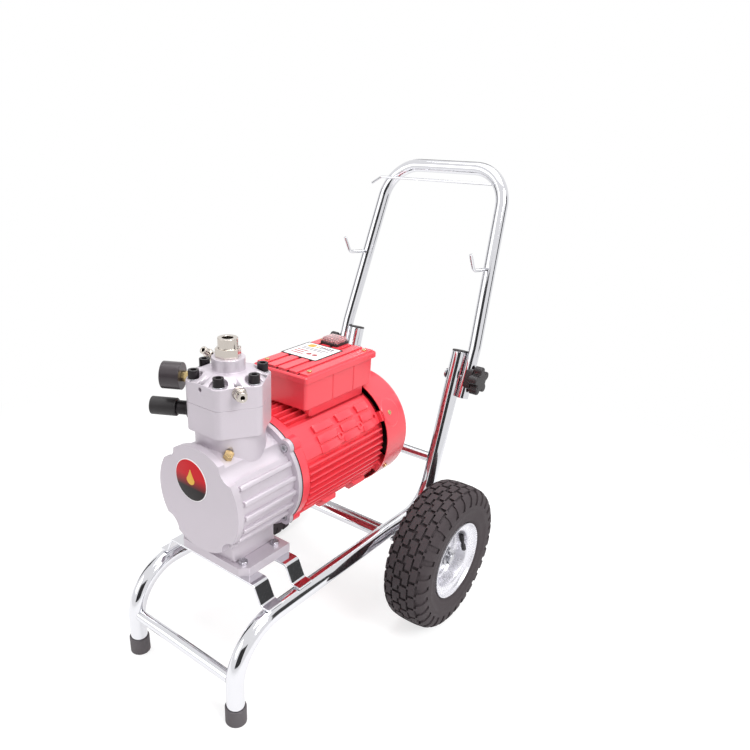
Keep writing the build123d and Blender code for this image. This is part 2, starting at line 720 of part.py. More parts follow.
def pump_casing():
    casing = casing_body() + casing_foot() - casing_cavity()
    casing -= ear_holes(CASING_FRONT_Y, 0, M8 + 0.3)
    casing -= ear_holes(FLANGE_FRONT_Y - 10, FLANGE_FRONT_Y + 4, 7)
    for x in (-FOOT_HOLE_X, FOOT_HOLE_X):
        for y in STRAP_YS:
            casing -= bar_z(STRAP_TOP_Z - 1, FOOT_TOP_Z + 1, M8 + 0.5, x, y)
            casing -= bar_z(FOOT_TOP_Z, FOOT_TOP_Z + 7, 9, x, y)
    for x, y in head_screw_points():
        casing -= bar_z(PARTING_Z - 24, PARTING_Z, HEAD_SCREW_RADIUS + SEAT_GAP, x, y)
    casing -= bar(head_point(GAUGE_ANGLE, 38, VALVE_Z), head_point(GAUGE_ANGLE, 80, VALVE_Z), 9 + SEAT_GAP)
    outs = (CHAMBER_RADIUS, OIL_PLUG_SEAT, OIL_PLUG_SEAT + 20)
    inside, seat, outside = [motor_point(OIL_PLUG_ANGLE, out, OIL_PLUG_Y) for out in outs]
    casing -= bar(seat, outside, 8.5)
    return casing - bar(inside, outside, OIL_PLUG_RADIUS + SEAT_GAP)


def oil_plug():
    outs = (68, OIL_PLUG_SEAT, OIL_PLUG_SEAT + 9)
    tip, seat, top = [motor_point(OIL_PLUG_ANGLE, out, OIL_PLUG_Y) for out in outs]
    return bar(tip, seat, OIL_PLUG_RADIUS) + hex_bar(seat, top, 13)


def socket_screw(start, end, radius, head_radius, head_height):
    """A socket screw with its head beyond end, and a hexagon socket in the head."""
    axis = (Vector(*end) - Vector(*start)).normalized()
    top = Vector(*end) + axis * head_height
    socket_floor = top - axis * head_height * 0.6
    body = bar(start, end, radius) + bar(end, tuple(top), head_radius)
    return body - hex_bar(tuple(socket_floor), tuple(top), head_radius)


def flange_screw(angle):
    tip = motor_point(angle, EAR_CIRCLE, FLANGE_BACK_Y + 13)
    seat = motor_point(angle, EAR_CIRCLE, FLANGE_FRONT_Y + 4)
    return socket_screw(tip, seat, M8, 6.5, 5)


def foot_bolt(x, y):
    """A hexagon bolt down through the foot and the strap, and its nut."""
    head = hex_bar((x, y, FOOT_TOP_Z), (x, y, FOOT_TOP_Z + 5.3), 13)
    under = STRAP_TOP_Z - STRAP_THICKNESS
    shank = bar_z(under - 9, FOOT_TOP_Z, M8, x, y)
    nut = hex_bar((x, y, under - 6.5), (x, y, under), 13) - bar_z(under - 8, under, M8 + SEAT_GAP, x, y)
    return [head + shank, nut]


def make_pump_casing():
    save("pump_casing", pump_casing())
    save("oil_plug", oil_plug())
    foot_bolts = [piece for x in (-FOOT_HOLE_X, FOOT_HOLE_X) for y in STRAP_YS for piece in foot_bolt(x, y)]
    save("casing_bolts", *[flange_screw(angle) for angle in EAR_ANGLES], *foot_bolts)
    gasket = slab(ear_outline(FLANGE_RADIUS + 1) - Circle(REGISTER_RADIUS + 1), FLANGE_BACK_Y, MOTOR_FRONT_Y)
    save("flange_gasket", gasket - ear_holes(FLANGE_BACK_Y - 1, MOTOR_FRONT_Y + 1, M8 + 0.5))


# Pump head

def head_cover():
    cover = head_prism(PARTING_Z, COVER_EDGE_Z)
    cone = Plane(origin=(0, HEAD_Y, PARTING_Z)) * Cone(HEAD_RADIUS + 75, BOSS_RADIUS + 5, 44, align=BASE)
    cover = cover & cone
    cover += bar_z(PARTING_Z + 1, BOSS_TOP_Z, BOSS_RADIUS)
    for x, y in head_screw_points():
        out_x, out_y = x * 1.5, HEAD_Y + (y - HEAD_Y) * 1.5
        cover -= bar_z(SCREW_SEAT_Z, BOSS_TOP_Z, POCKET_RADIUS, x, y)
        cover -= bar_z(SCREW_SEAT_Z, BOSS_TOP_Z, POCKET_RADIUS, out_x, out_y)
        cover -= bar_z(PARTING_Z - 1, SCREW_SEAT_Z + 1, HEAD_SCREW_RADIUS + RUN_GAP, x, y)
    cover -= bar_z(INLET_STUB_Z - 0.5, BOSS_TOP_Z, INLET_STUB_RADIUS + SEAT_GAP)
    cover -= bar_z(GUIDE_Z + GUIDE_THICKNESS, INLET_STUB_Z, INLET_STUB_RADIUS - 1.5)
    cover -= bar_z(PARTING_Z - 1, GUIDE_Z, 16)
    cover -= bar_z(GUIDE_Z - 1, GUIDE_Z + GUIDE_THICKNESS + 1, STEM_RADIUS + RUN_GAP)
    for index in range(4):
        x, y = around(index * 90, 6.5)
        cover -= bar_z(GUIDE_Z - 1, GUIDE_Z + GUIDE_THICKNESS + 1, 2, x, HEAD_Y + y)
    ports = (OUTLET_ANGLE, PORT_Z, 6), (RETURN_ANGLE, RETURN_Z, 6), (GAUGE_ANGLE, PORT_Z, 5)
    for angle, z, radius in ports:
        cover -= bar(head_point(angle, 40, z), head_point(angle, 70, z), radius + SEAT_GAP)
    return cover - bar(head_point(270, 46, PORT_Z), head_point(270, 70, PORT_Z), 3)


def head_screw(x, y):
    washer = pipe((x, y, SCREW_SEAT_Z), (x, y, SCREW_SEAT_Z + 1.5), 9, HEAD_SCREW_RADIUS + RUN_GAP)
    seat_z = SCREW_SEAT_Z + 1.5
    tip = (x, y, PARTING_Z - 20)
    screw = socket_screw(tip, (x, y, seat_z), HEAD_SCREW_RADIUS, HEAD_SCREW_HEAD, HEAD_SCREW_HEAD_HEIGHT)
    return [screw, washer]


def inlet_fitting():
    body = hex_bar((0, HEAD_Y, BOSS_TOP_Z), (0, HEAD_Y, INLET_HEX_TOP_Z), INLET_HEX)
    body += bar_z(INLET_HEX_TOP_Z, INLET_TOP_Z, INLET_COLLAR_RADIUS)
    body += bar_z(INLET_STUB_Z, BOSS_TOP_Z + 1, INLET_STUB_RADIUS)
    return body - bar_z(INLET_STUB_Z - 1, INLET_TOP_Z + 1, INLET_BORE_RADIUS)


def inlet_poppet():
    """A disc that closes the inlet bore from below, on a stem in the cover's guide."""
    disc = bar_z(INLET_STUB_Z - 3.2, INLET_STUB_Z - 0.2, INLET_BORE_RADIUS + 1.5)
    return disc + bar_z(GUIDE_Z - 8, INLET_STUB_Z - 2, STEM_RADIUS)


def outlet_fitting():
    """The spray hose's nipple: washer, hexagon and open threaded tip."""
    flat = HEAD_FLAT
    outs = (42, flat, flat + 2, flat + 10, OUTLET_TIP)
    root, seat, washer, shoulder, tip = [head_point(OUTLET_ANGLE, out, PORT_Z) for out in outs]
    body = bar(root, seat, 6) + bar(seat, washer, 10) + hex_bar(washer, shoulder, 17)
    body += bar(shoulder, tip, OUTLET_THREAD_RADIUS)
    return body - bar(root, tip, 3)


def return_elbow():
    """An elbow from the head's rear left face that turns to point forwards and up, over the gauge."""
    flat = HEAD_FLAT
    corner = head_point(RETURN_ANGLE, RETURN_REACH, RETURN_Z)
    along, up = around(RETURN_RISE, 1)
    outs = RETURN_RUN, RETURN_RUN - 11, RETURN_RUN - 23
    tip, nut_end, nut_start = [(corner[0], corner[1] - out * along, corner[2] + out * up) for out in outs]
    points = [head_point(RETURN_ANGLE, 44, RETURN_Z), corner, tip]
    body = bent(points, RETURN_BEND, Circle(6)) - bent(points, RETURN_BEND, Circle(3))
    collars = [
        (head_point(RETURN_ANGLE, flat, RETURN_Z), head_point(RETURN_ANGLE, flat + 12, RETURN_Z)),
        (nut_start, nut_end),
    ]
    for start, end in collars:
        body += hex_bar(start, end, 15) - bar(start, end, 5)
    return body


def gauge_bar(start, end, radius):
    return bar(head_point(GAUGE_ANGLE, start, PORT_Z), head_point(GAUGE_ANGLE, end, PORT_Z), radius)


def gauge_stem():
    flat = HEAD_FLAT
    hexagon = hex_bar(head_point(GAUGE_ANGLE, flat, PORT_Z), head_point(GAUGE_ANGLE, GAUGE_BACK, PORT_Z), 14)
    return gauge_bar(42, flat + 1, 5) + hexagon


def gauge_needle():
    """A tapered pointer on a hub, turning on the dial's spindle."""
    plane = Plane(
        origin=head_point(GAUGE_ANGLE, GAUGE_FRONT - 4.6, PORT_Z),
        x_dir=(-math.sin(math.radians(GAUGE_ANGLE)), math.cos(math.radians(GAUGE_ANGLE)), 0),
        z_dir=(math.cos(math.radians(GAUGE_ANGLE)), math.sin(math.radians(GAUGE_ANGLE)), 0),
    )
    pointer = make_face(Polyline((-1.2, 4), (1.2, 4), (0.4, -14), (-0.4, -14), close=True))
    pointer = Rot(Z=-45) * pointer + Circle(2.6)
    needle = extrude(plane * pointer, amount=0.8)
    return needle - gauge_bar(GAUGE_FRONT - 10, GAUGE_FRONT, 0.8 + RUN_GAP)


def make_gauge():
    save("gauge_stem", gauge_stem())
    case = gauge_bar(GAUGE_BACK, GAUGE_FRONT, GAUGE_RADIUS)
    case -= gauge_bar(GAUGE_BACK + 2, GAUGE_FRONT, GAUGE_RADIUS - 1.5)
    save("gauge_case", case)
    dial = gauge_bar(GAUGE_FRONT - 7, GAUGE_FRONT - 5.5, GAUGE_RADIUS - 1.5 - SEAT_GAP)
    save("gauge_dial", dial + gauge_bar(GAUGE_FRONT - 6, GAUGE_FRONT - 3, 0.8))
    save("gauge_lens", gauge_bar(GAUGE_FRONT - 2, GAUGE_FRONT - 0.5, GAUGE_RADIUS - 1.5 - SEAT_GAP))
    save("gauge_needle", gauge_needle())


def valve_bar(start, end, radius):
    return bar(head_point(GAUGE_ANGLE, start, VALVE_Z), head_point(GAUGE_ANGLE, end, VALVE_Z), radius)


def make_pressure_valve():
    flat = HEAD_FLAT
    hexagon = hex_bar(head_point(GAUGE_ANGLE, flat, VALVE_Z), head_point(GAUGE_ANGLE, flat + 8, VALVE_Z), 24)
    body = valve_bar(39, flat + 1, 9) + hexagon + valve_bar(flat + 8, KNOB_START - SIDE_GAP, 10.5)
    save("pressure_valve", body + valve_bar(KNOB_START - 1, KNOB_END - 14, VALVE_STEM_RADIUS))
    knob = valve_bar(KNOB_START, KNOB_END, VALVE_KNOB_RADIUS)
    knob = fillet(knob.edges().filter_by(GeomType.CIRCLE), 1.5)
    save("pressure_knob", knob - valve_bar(KNOB_START - 1, KNOB_END - 13, VALVE_STEM_RADIUS + RUN_GAP))


def piston_spring():
    """A return spring between the piston's foot and the sleeve."""
    low = PISTON_BOTTOM_Z + PISTON_FOOT + SPRING_WIRE + SEAT_GAP
    high = SLEEVE_BOTTOM_Z - SPRING_WIRE - SEAT_GAP
    mean = PISTON_RADIUS + SPRING_WIRE + 1.5
    path = Pos(0, HEAD_Y, low) * Helix(pitch=(high - low) / 3, height=high - low, radius=mean)
    start = Plane(origin=path @ 0, z_dir=path % 0)
    return sweep(start * Circle(SPRING_WIRE), path=path, is_frenet=True)


def make_pump_head():
    save("head_cover", head_cover())
    save("head_screws", *[piece for x, y in head_screw_points() for piece in head_screw(x, y)])
    save("diaphragm", bar_z(PARTING_Z - DIAPHRAGM_THICKNESS, PARTING_Z, DIAPHRAGM_RADIUS))
    sleeve = bar_z(SLEEVE_BOTTOM_Z, SLEEVE_TOP_Z, SLEEVE_RADIUS)
    sleeve += bar_z(SLEEVE_TOP_Z - 4, SLEEVE_TOP_Z, SLEEVE_RADIUS + 4)
    save("cylinder_sleeve", sleeve - bar_z(SLEEVE_BOTTOM_Z - 1, SLEEVE_TOP_Z + 1, PISTON_RADIUS + RUN_GAP))
    piston = bar_z(PISTON_BOTTOM_Z, SLEEVE_TOP_Z - 10, PISTON_RADIUS)
    save("piston", piston + bar_z(PISTON_BOTTOM_Z, PISTON_BOTTOM_Z + PISTON_FOOT, SLEEVE_RADIUS))
    save("piston_spring", piston_spring())
    save("inlet_fitting", inlet_fitting())
    save("inlet_poppet", inlet_poppet())
    save("outlet_fitting", outlet_fitting())
    save("return_elbow", return_elbow())
    make_gauge()
    make_pressure_valve()


# Motor

def front_shield():
    """The end shield that centres the motor in the pump casing and holds the front bearing."""
    shield = slab(ear_outline(FLANGE_RADIUS + 1), MOTOR_FRONT_Y, HOUSING_FRONT_Y)
    shield += bar_y(FLANGE_FRONT_Y + 1, MOTOR_FRONT_Y + 1, REGISTER_RADIUS - SEAT_GAP)
    shield -= bar_y(FLANGE_FRONT_Y, HOUSING_FRONT_Y + 1, SHAFT_RADIUS + 1)
    shield -= bar_y(HOUSING_FRONT_Y - BEARING_LENGTH, HOUSING_FRONT_Y + 1, BEARING_RADIUS + SEAT_GAP)
    return shield - ear_holes(FLANGE_BACK_Y, FLANGE_BACK_Y + 13.5, M8 + SEAT_GAP)


def housing_outline():
    """The housing's section: fins all round, and two wide pads above the shoulders."""
    outline = Circle(HOUSING_RADIUS)
    for index in range(round(360 / FIN_PITCH)):
        angle = 90 + index * FIN_PITCH
        if any(abs(angle - pad - turn) < PAD_HALF_ANGLE for pad in PAD_ANGLES for turn in (0, 360)):
            continue
        outline += Rot(Z=angle) * Pos(FIN_TIP_RADIUS / 2, 0) * Rectangle(FIN_TIP_RADIUS, FIN_WIDTH)
    for pad in PAD_ANGLES:
        edges = [around(pad + side * PAD_HALF_ANGLE, PAD_RADIUS) for side in (-1, 1)]
        middle = around(pad, PAD_RADIUS)
        arc = ThreePointArc(edges[0], middle, edges[1])
        outline += make_face(arc + Polyline(edges[1], (0, 0), edges[0]))
    return outline - Circle(HOUSING_BORE)


def foot_boss(angle, y):
    """A cast boss with a tapped hole, where a separate motor foot would be screwed on."""
    length = FOOT_BOSS_RADIUS - HOUSING_BORE - 2
    boss = Box(length, FOOT_BOSS_LENGTH, 20, align=(Align.MIN, Align.CENTER, Align.CENTER))
    boss = chamfer(boss.edges().filter_by(Axis.Z).group_by(Axis.X)[-1], 5)
    return Pos(0, y, SHAFT_Z) * Rot(Y=-angle) * Pos(HOUSING_BORE + 2, 0, 0) * boss


def motor_housing():
    housing = slab(housing_outline(), HOUSING_FRONT_Y, HOUSING_BACK_Y)
    for angle in FOOT_BOSS_ANGLES:
        for y in FOOT_BOSS_YS:
            housing += foot_boss(angle, y)
            hole = motor_point(angle, FOOT_BOSS_RADIUS - 14, y), motor_point(angle, FOOT_BOSS_RADIUS + 1, y)
            housing -= bar(*hole, 3)
    for pad in PAD_ANGLES:
        side = 1 if pad < 90 else -1
        for y, turn in ((-152.0, -4), (-38.0, -9)):
            angle = pad + side * turn
            housing -= bar(motor_point(angle, PAD_RADIUS - 9, y), motor_point(angle, PAD_RADIUS + 2, y), 3.3)
    return housing


def rear_shield():
    """The rear end shield, with the rear bearing and four lugs for the fan cover."""
    shield = bar_y(HOUSING_BACK_Y, REAR_SHIELD_Y, HOUSING_RADIUS)
    inner = COVER_RADIUS - COVER_SHEET - SEAT_GAP
    for angle in COVER_SCREW_ANGLES:
        depth = COVER_SCREW_Y + 8 - HOUSING_BACK_Y
        lug = Box(inner - 60, depth, 18, align=(Align.MIN, Align.MIN, Align.CENTER))
        shield += Pos(0, HOUSING_BACK_Y, SHAFT_Z) * Rot(Y=-angle) * Pos(60, 0, 0) * lug
        hole = motor_point(angle, inner - 14, COVER_SCREW_Y), motor_point(angle, inner + 2, COVER_SCREW_Y)
        shield -= bar(*hole, 2 + SEAT_GAP)
    shield &= bar_y(HOUSING_BACK_Y, COVER_BACK_Y, inner)
    shield -= bar_y(HOUSING_BACK_Y - 1, REAR_SHIELD_Y + 1, SHAFT_RADIUS + 1)
    return shield - bar_y(HOUSING_BACK_Y - 1, HOUSING_BACK_Y + BEARING_LENGTH - 3, BEARING_RADIUS + SEAT_GAP)


def make_motor_case():
    save("motor_front_shield", front_shield())
    save("motor_housing", motor_housing())
    save("motor_rear_shield", rear_shield())
    cover = bar_y(COVER_FRONT_Y, COVER_BACK_Y, COVER_RADIUS)
    cover = fillet(cover.edges().group_by(Axis.Y)[-1], COVER_EDGE_BEND)
    inside = bar_y(COVER_FRONT_Y - 1, COVER_BACK_Y - COVER_SHEET, COVER_RADIUS - COVER_SHEET)
    cover -= fillet(inside.edges().group_by(Axis.Y)[-1], COVER_EDGE_BEND - COVER_SHEET)
    holes = Sketch()
    for ring in range(1, 7):
        for index in range(ring * 6):
            holes += Pos(*around(index * 60 / ring, ring * 12.5)) * Circle(4.3)
    cover -= slab(holes, COVER_BACK_Y - 5, COVER_BACK_Y + 1)
    for angle in COVER_SCREW_ANGLES:
        hole = motor_point(angle, 90, COVER_SCREW_Y), motor_point(angle, 110, COVER_SCREW_Y)
        cover -= bar(*hole, 2 + RUN_GAP)
    save("fan_cover", cover)
    save("cover_screws", *[cover_screw(angle) for angle in COVER_SCREW_ANGLES], *lid_screws())


def cover_screw(angle):
    """A round-headed screw through the fan cover into its lug."""
    seat = COVER_RADIUS + 0.1
    tip, under, top = [motor_point(angle, seat + out, COVER_SCREW_Y) for out in (-13, 0, 2.4)]
    return bar(tip, under, 2) + bar(under, top, 4.2)


def fan_blade(index):
    blade = block(FAN_SHAFT_RADIUS + 5, FAN_RADIUS, 4, 26, -1.2, 1.2)
    return Pos(0, 0, SHAFT_Z) * Rot(Y=index * 360 / FAN_BLADES) * blade


def cooling_fan():
    fan = bar_y(0, 26, FAN_SHAFT_RADIUS + 8) + bar_y(2, 5, FAN_RADIUS)
    for index in range(FAN_BLADES):
        fan += fan_blade(index)
    return fan - bar_y(-1, 27, FAN_SHAFT_RADIUS + SEAT_GAP)


def make_motor_works():
    ring = bar_y(STATOR_FRONT_Y, STATOR_BACK_Y, HOUSING_BORE - SEAT_GAP)
    save("stator_core", ring - bar_y(STATOR_FRONT_Y - 1, STATOR_BACK_Y + 1, STATOR_BORE))
    windings = []
    for y0 in (STATOR_FRONT_Y - WINDING_LENGTH, STATOR_BACK_Y):
        y1 = y0 + WINDING_LENGTH
        windings.append(pipe((0, y0, SHAFT_Z), (0, y1, SHAFT_Z), HOUSING_BORE - 6, STATOR_BORE + 5))
    save("stator_windings", *windings)
    shaft = bar_y(SHAFT_FRONT_Y + 1.5, REAR_SHIELD_Y + 2, SHAFT_RADIUS)
    save("motor_shaft", shaft + bar_y(REAR_SHIELD_Y, 28, FAN_SHAFT_RADIUS))
    core = bar_y(STATOR_FRONT_Y, STATOR_BACK_Y, STATOR_BORE - 0.6)
    save("rotor_core", core - bar_y(STATOR_FRONT_Y - 1, STATOR_BACK_Y + 1, SHAFT_RADIUS + SEAT_GAP))
    bearings = (
        (HOUSING_FRONT_Y - BEARING_LENGTH, HOUSING_FRONT_Y, BEARING_RADIUS),
        (HOUSING_BACK_Y, HOUSING_BACK_Y + BEARING_LENGTH - 3, BEARING_RADIUS),
        (NOSE_SEAT_Y, NOSE_SEAT_Y + BEARING_LENGTH, NOSE_BEARING_RADIUS),
    )
    rings = [pipe((0, y0, SHAFT_Z), (0, y1, SHAFT_Z), r, SHAFT_RADIUS + RUN_GAP) for y0, y1, r in bearings]
    save("motor_bearings", *rings)
    save("cooling_fan", cooling_fan())
    high = SHAFT_Z + ECCENTRICITY
    cam = bar_y(HEAD_Y - 17, HEAD_Y + 17, ECCENTRIC_RADIUS, z=high)
    cam -= bar_y(HEAD_Y - 18, HEAD_Y + 18, SHAFT_RADIUS + SEAT_GAP)
    outer = bar_y(HEAD_Y - 9, HEAD_Y + 9, ECCENTRIC_RING_RADIUS, z=high)
    outer -= bar_y(HEAD_Y - 10, HEAD_Y + 10, ECCENTRIC_RADIUS + SEAT_GAP, z=high)
    save("eccentric", cam, outer)


# Terminal box

def rounded_block(width, length, z0, z1, corner):
    body = Pos(0, BOX_CENTRE_Y, z0) * Box(width, length, z1 - z0, align=BASE)
    return fillet(body.edges().filter_by(Axis.Z), corner)


def terminal_box():
    """A box on a neck shaped to the motor's fins, with two grooves down each side wall."""
    box = rounded_block(BOX_WIDTH, BOX_LENGTH, BOX_BOTTOM_Z, BOX_TOP_Z, 5)
    box += rounded_block(BOX_NECK_WIDTH, BOX_NECK_LENGTH, SHAFT_Z + 70, BOX_BOTTOM_Z + 1, 5)
    box -= bar_y(BOX_CENTRE_Y - BOX_LENGTH, BOX_CENTRE_Y + BOX_LENGTH, FIN_TIP_RADIUS + SEAT_GAP)
    box -= bar_y(COVER_FRONT_Y - SIDE_GAP, COVER_BACK_Y, COVER_RADIUS + SIDE_GAP)
    box -= rounded_block(BOX_WIDTH - 2 * BOX_WALL, BOX_LENGTH - 2 * BOX_WALL, BOX_FLOOR_Z, BOX_TOP_Z + 1, 3)
    for side in (-1, 1):
        for y in GROOVE_YS:
            box -= bar((side * BOX_WIDTH / 2, y, SHAFT_Z), (side * BOX_WIDTH / 2, y, BOX_TOP_Z + 1), 1.2)
    for x, y in lid_screw_points():
        box += bar_z(BOX_FLOOR_Z - 1, BOX_TOP_Z, 5, x, y)
        box -= bar_z(BOX_TOP_Z - 14, BOX_TOP_Z + 1, 2 + SEAT_GAP, x, y)
    wall_x = -BOX_WIDTH / 2
    return box - bar_x(wall_x - 1, wall_x + BOX_WALL + 1, GLAND_RADIUS + SEAT_GAP, GLAND_Y, GLAND_Z)


def lid_screw_points():
    x = BOX_WIDTH / 2 - 7
    for side in (-1, 1):
        for end in (-1, 1):
            yield side * x, BOX_CENTRE_Y + end * (BOX_LENGTH / 2 - LID_SCREW_INSET)


def lid_screws():
    for x, y in lid_screw_points():
        yield bar_z(BOX_TOP_Z - 12, LID_TOP_Z, 2, x, y) + bar_z(LID_TOP_Z, LID_TOP_Z + 2, 4, x, y)


def switch_block(half_w, half_l, z0, z1):
    return block(SWITCH_X - half_w, SWITCH_X + half_w, SWITCH_Y - half_l, SWITCH_Y + half_l, z0, z1)


def switch_opening():
    half_w = SWITCH_WIDTH / 2 - 3
    half_l = SWITCH_LENGTH / 2 - 2
    return switch_block(half_w, half_l, BOX_TOP_Z - 1, LID_TOP_Z + 1)


def box_lid():
    """A flat lid with a chamfered edge and raised bands along its length."""
    lid = rounded_block(LID_WIDTH, LID_LENGTH, BOX_TOP_Z, LID_EDGE_Z, 5)
    lid = chamfer(lid.edges().group_by(Axis.Z)[-1], 2)
    for x in LID_RIB_XS:
        rib = Box(LID_RIB_WIDTH, LID_LENGTH - 14, LID_TOP_Z - LID_EDGE_Z + 1, align=BASE)
        lid += Pos(x, BOX_CENTRE_Y, LID_EDGE_Z - 1) * rib
    inner_width = BOX_WIDTH - 2 * BOX_WALL - 24
    lid -= rounded_block(inner_width, BOX_LENGTH - 2 * BOX_WALL, BOX_TOP_Z - 1, BOX_TOP_Z + 6, 3)
    for x, y in lid_screw_points():
        lid -= bar_z(BOX_TOP_Z - 1, LID_TOP_Z + 1, 2 + RUN_GAP, x, y)
        lid += pipe((x, y, LID_EDGE_Z - 2), (x, y, LID_TOP_Z), 6, 2 + RUN_GAP)
    return lid - switch_opening()


def switch_frame():
    half_w = SWITCH_WIDTH / 2 - 3 - SEAT_GAP
    half_l = SWITCH_LENGTH / 2 - 2 - SEAT_GAP
    frame = switch_block(half_w, half_l, LID_TOP_Z - 26, LID_TOP_Z)
    bezel = Pos(SWITCH_X, SWITCH_Y, LID_TOP_Z) * Box(SWITCH_WIDTH, SWITCH_LENGTH, 5, align=BASE)
    frame += fillet(bezel.edges().filter_by(Axis.Z), 2)
    well_w = ROCKER_WIDTH / 2 + SIDE_GAP
    well_l = ROCKER_LENGTH / 2 + 1.3
    frame -= switch_block(well_w, well_l, LID_TOP_Z - 10, LID_TOP_Z + 6)
    return frame + rocker_bar(well_w + 1, ROCKER_PIN_RADIUS)


def rocker_bar(half_width, radius):
    """A round bar along the rocker's pivot axis."""
    return bar_x(SWITCH_X - half_width, SWITCH_X + half_width, radius, SWITCH_Y, ROCKER_PIVOT_Z)


def switch_rocker():
    """A rocker with a shallow V top, tilted about its pivot so that its rear end is pressed down."""
    half = ROCKER_LENGTH / 2
    side = [(-half + 2, -4), (half - 2, -4), (half, 0), (half, 6.5), (0, 4.5), (-half, 6.5), (-half, 0)]
    corner = (SWITCH_X - ROCKER_WIDTH / 2, SWITCH_Y, ROCKER_PIVOT_Z)
    plane = Plane(origin=corner, x_dir=(0, 1, 0), z_dir=(1, 0, 0))
    body = extrude(plane * make_face(Polyline(*side, close=True)), amount=ROCKER_WIDTH)
    body = body.rotate(Axis((SWITCH_X, SWITCH_Y, ROCKER_PIVOT_Z), (1, 0, 0)), -ROCKER_TILT)
    return body - rocker_bar(ROCKER_WIDTH / 2 + 1, ROCKER_PIN_RADIUS + RUN_GAP)


def cable_gland():
    """An empty cable gland in the box's left wall: hexagon, domed nut and back nut."""
    wall_x = -BOX_WIDTH / 2
    inner_x = wall_x + BOX_WALL
    body = bar_x(wall_x - 8, inner_x + 8, GLAND_RADIUS, GLAND_Y, GLAND_Z)
    body += hex_bar((wall_x - 8, GLAND_Y, GLAND_Z), (wall_x, GLAND_Y, GLAND_Z), 22)
    body += bar_x(wall_x - 22, wall_x - 8, 10, GLAND_Y, GLAND_Z)
    body -= bar_x(wall_x - 23, inner_x + 9, 5, GLAND_Y, GLAND_Z)
    nut = hex_bar((inner_x, GLAND_Y, GLAND_Z), (inner_x + 5, GLAND_Y, GLAND_Z), 22)
    return [body, nut - bar_x(inner_x - 1, inner_x + 6, GLAND_RADIUS + SEAT_GAP, GLAND_Y, GLAND_Z)]


def make_terminal_box():
    save("terminal_box", terminal_box())
    save("terminal_box_lid", box_lid())
    save("capacitor", bar_y(-160, -80, 17, x=18, z=BOX_FLOOR_Z + 17))
    save("switch_frame", switch_frame())
    save("switch_rocker", switch_rocker())
    save("cable_gland", *cable_gland())


os.makedirs("parts", exist_ok=True)
make_frame()
make_axle()
make_wheels()
make_handle()
make_pump_casing()
make_pump_head()
make_motor_case()
make_motor_works()
make_terminal_box()
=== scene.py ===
import json
import math

import bmesh
import bpy
from bpy.props import FloatProperty, FloatVectorProperty, IntProperty, PointerProperty
from mathutils import Matrix, Vector


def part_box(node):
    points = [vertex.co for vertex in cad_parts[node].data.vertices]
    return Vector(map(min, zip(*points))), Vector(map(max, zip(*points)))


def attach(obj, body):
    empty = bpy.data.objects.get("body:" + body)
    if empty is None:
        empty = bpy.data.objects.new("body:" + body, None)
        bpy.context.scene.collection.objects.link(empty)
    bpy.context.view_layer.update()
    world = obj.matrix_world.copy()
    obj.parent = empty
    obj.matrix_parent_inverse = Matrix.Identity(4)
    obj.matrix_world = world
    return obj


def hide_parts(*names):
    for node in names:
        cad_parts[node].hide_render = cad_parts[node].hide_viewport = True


bl_info = {
    "name": "Airless Paint Sprayer",
    "version": (1, 0, 0),
    "blender": (4, 5, 0),
    "location": "3D View > Sidebar > Sprayer",
    "description": "Builds the visible pieces and finishes of a wheeled airless paint sprayer",
    "category": "Object",
}

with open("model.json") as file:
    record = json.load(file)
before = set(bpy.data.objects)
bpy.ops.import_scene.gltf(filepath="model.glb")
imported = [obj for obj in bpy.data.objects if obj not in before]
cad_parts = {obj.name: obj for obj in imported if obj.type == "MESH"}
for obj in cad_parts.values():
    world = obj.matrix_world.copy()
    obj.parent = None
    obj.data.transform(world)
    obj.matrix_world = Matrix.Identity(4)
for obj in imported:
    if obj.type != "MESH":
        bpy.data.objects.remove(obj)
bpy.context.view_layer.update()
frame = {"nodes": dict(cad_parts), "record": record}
SIDES = {"left": -1, "right": 1}
MATERIALS = {}
# The pump, the motor and the round gasket between them share one axis, which runs along Y.
AXIS_Z = sum(corner.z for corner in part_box("flange_gasket")) / 2


# Colours and shader nodes

def linear(code):
    """Turn an sRGB hex colour into the linear colour that Blender works in."""
    channels = [int(code[i:i + 2], 16) / 255 for i in (1, 3, 5)]
    return (*[c / 12.92 if c <= 0.04045 else ((c + 0.055) / 1.055) ** 2.4 for c in channels], 1.0)


def shade(colour, factor):
    """The same colour, lighter or darker by a factor."""
    return (*[min(1.0, c * factor) for c in colour[:3]], 1.0)


def add_node(tree, kind, inputs=None, **settings):
    """Add a shader node with its settings, its input values and its incoming links."""
    made = tree.nodes.new(kind)
    for name, value in settings.items():
        setattr(made, name, value)
    for name, value in (inputs or {}).items():
        if isinstance(value, bpy.types.NodeSocket):
            tree.links.new(value, made.inputs[name])
        else:
            made.inputs[name].default_value = value
    return made


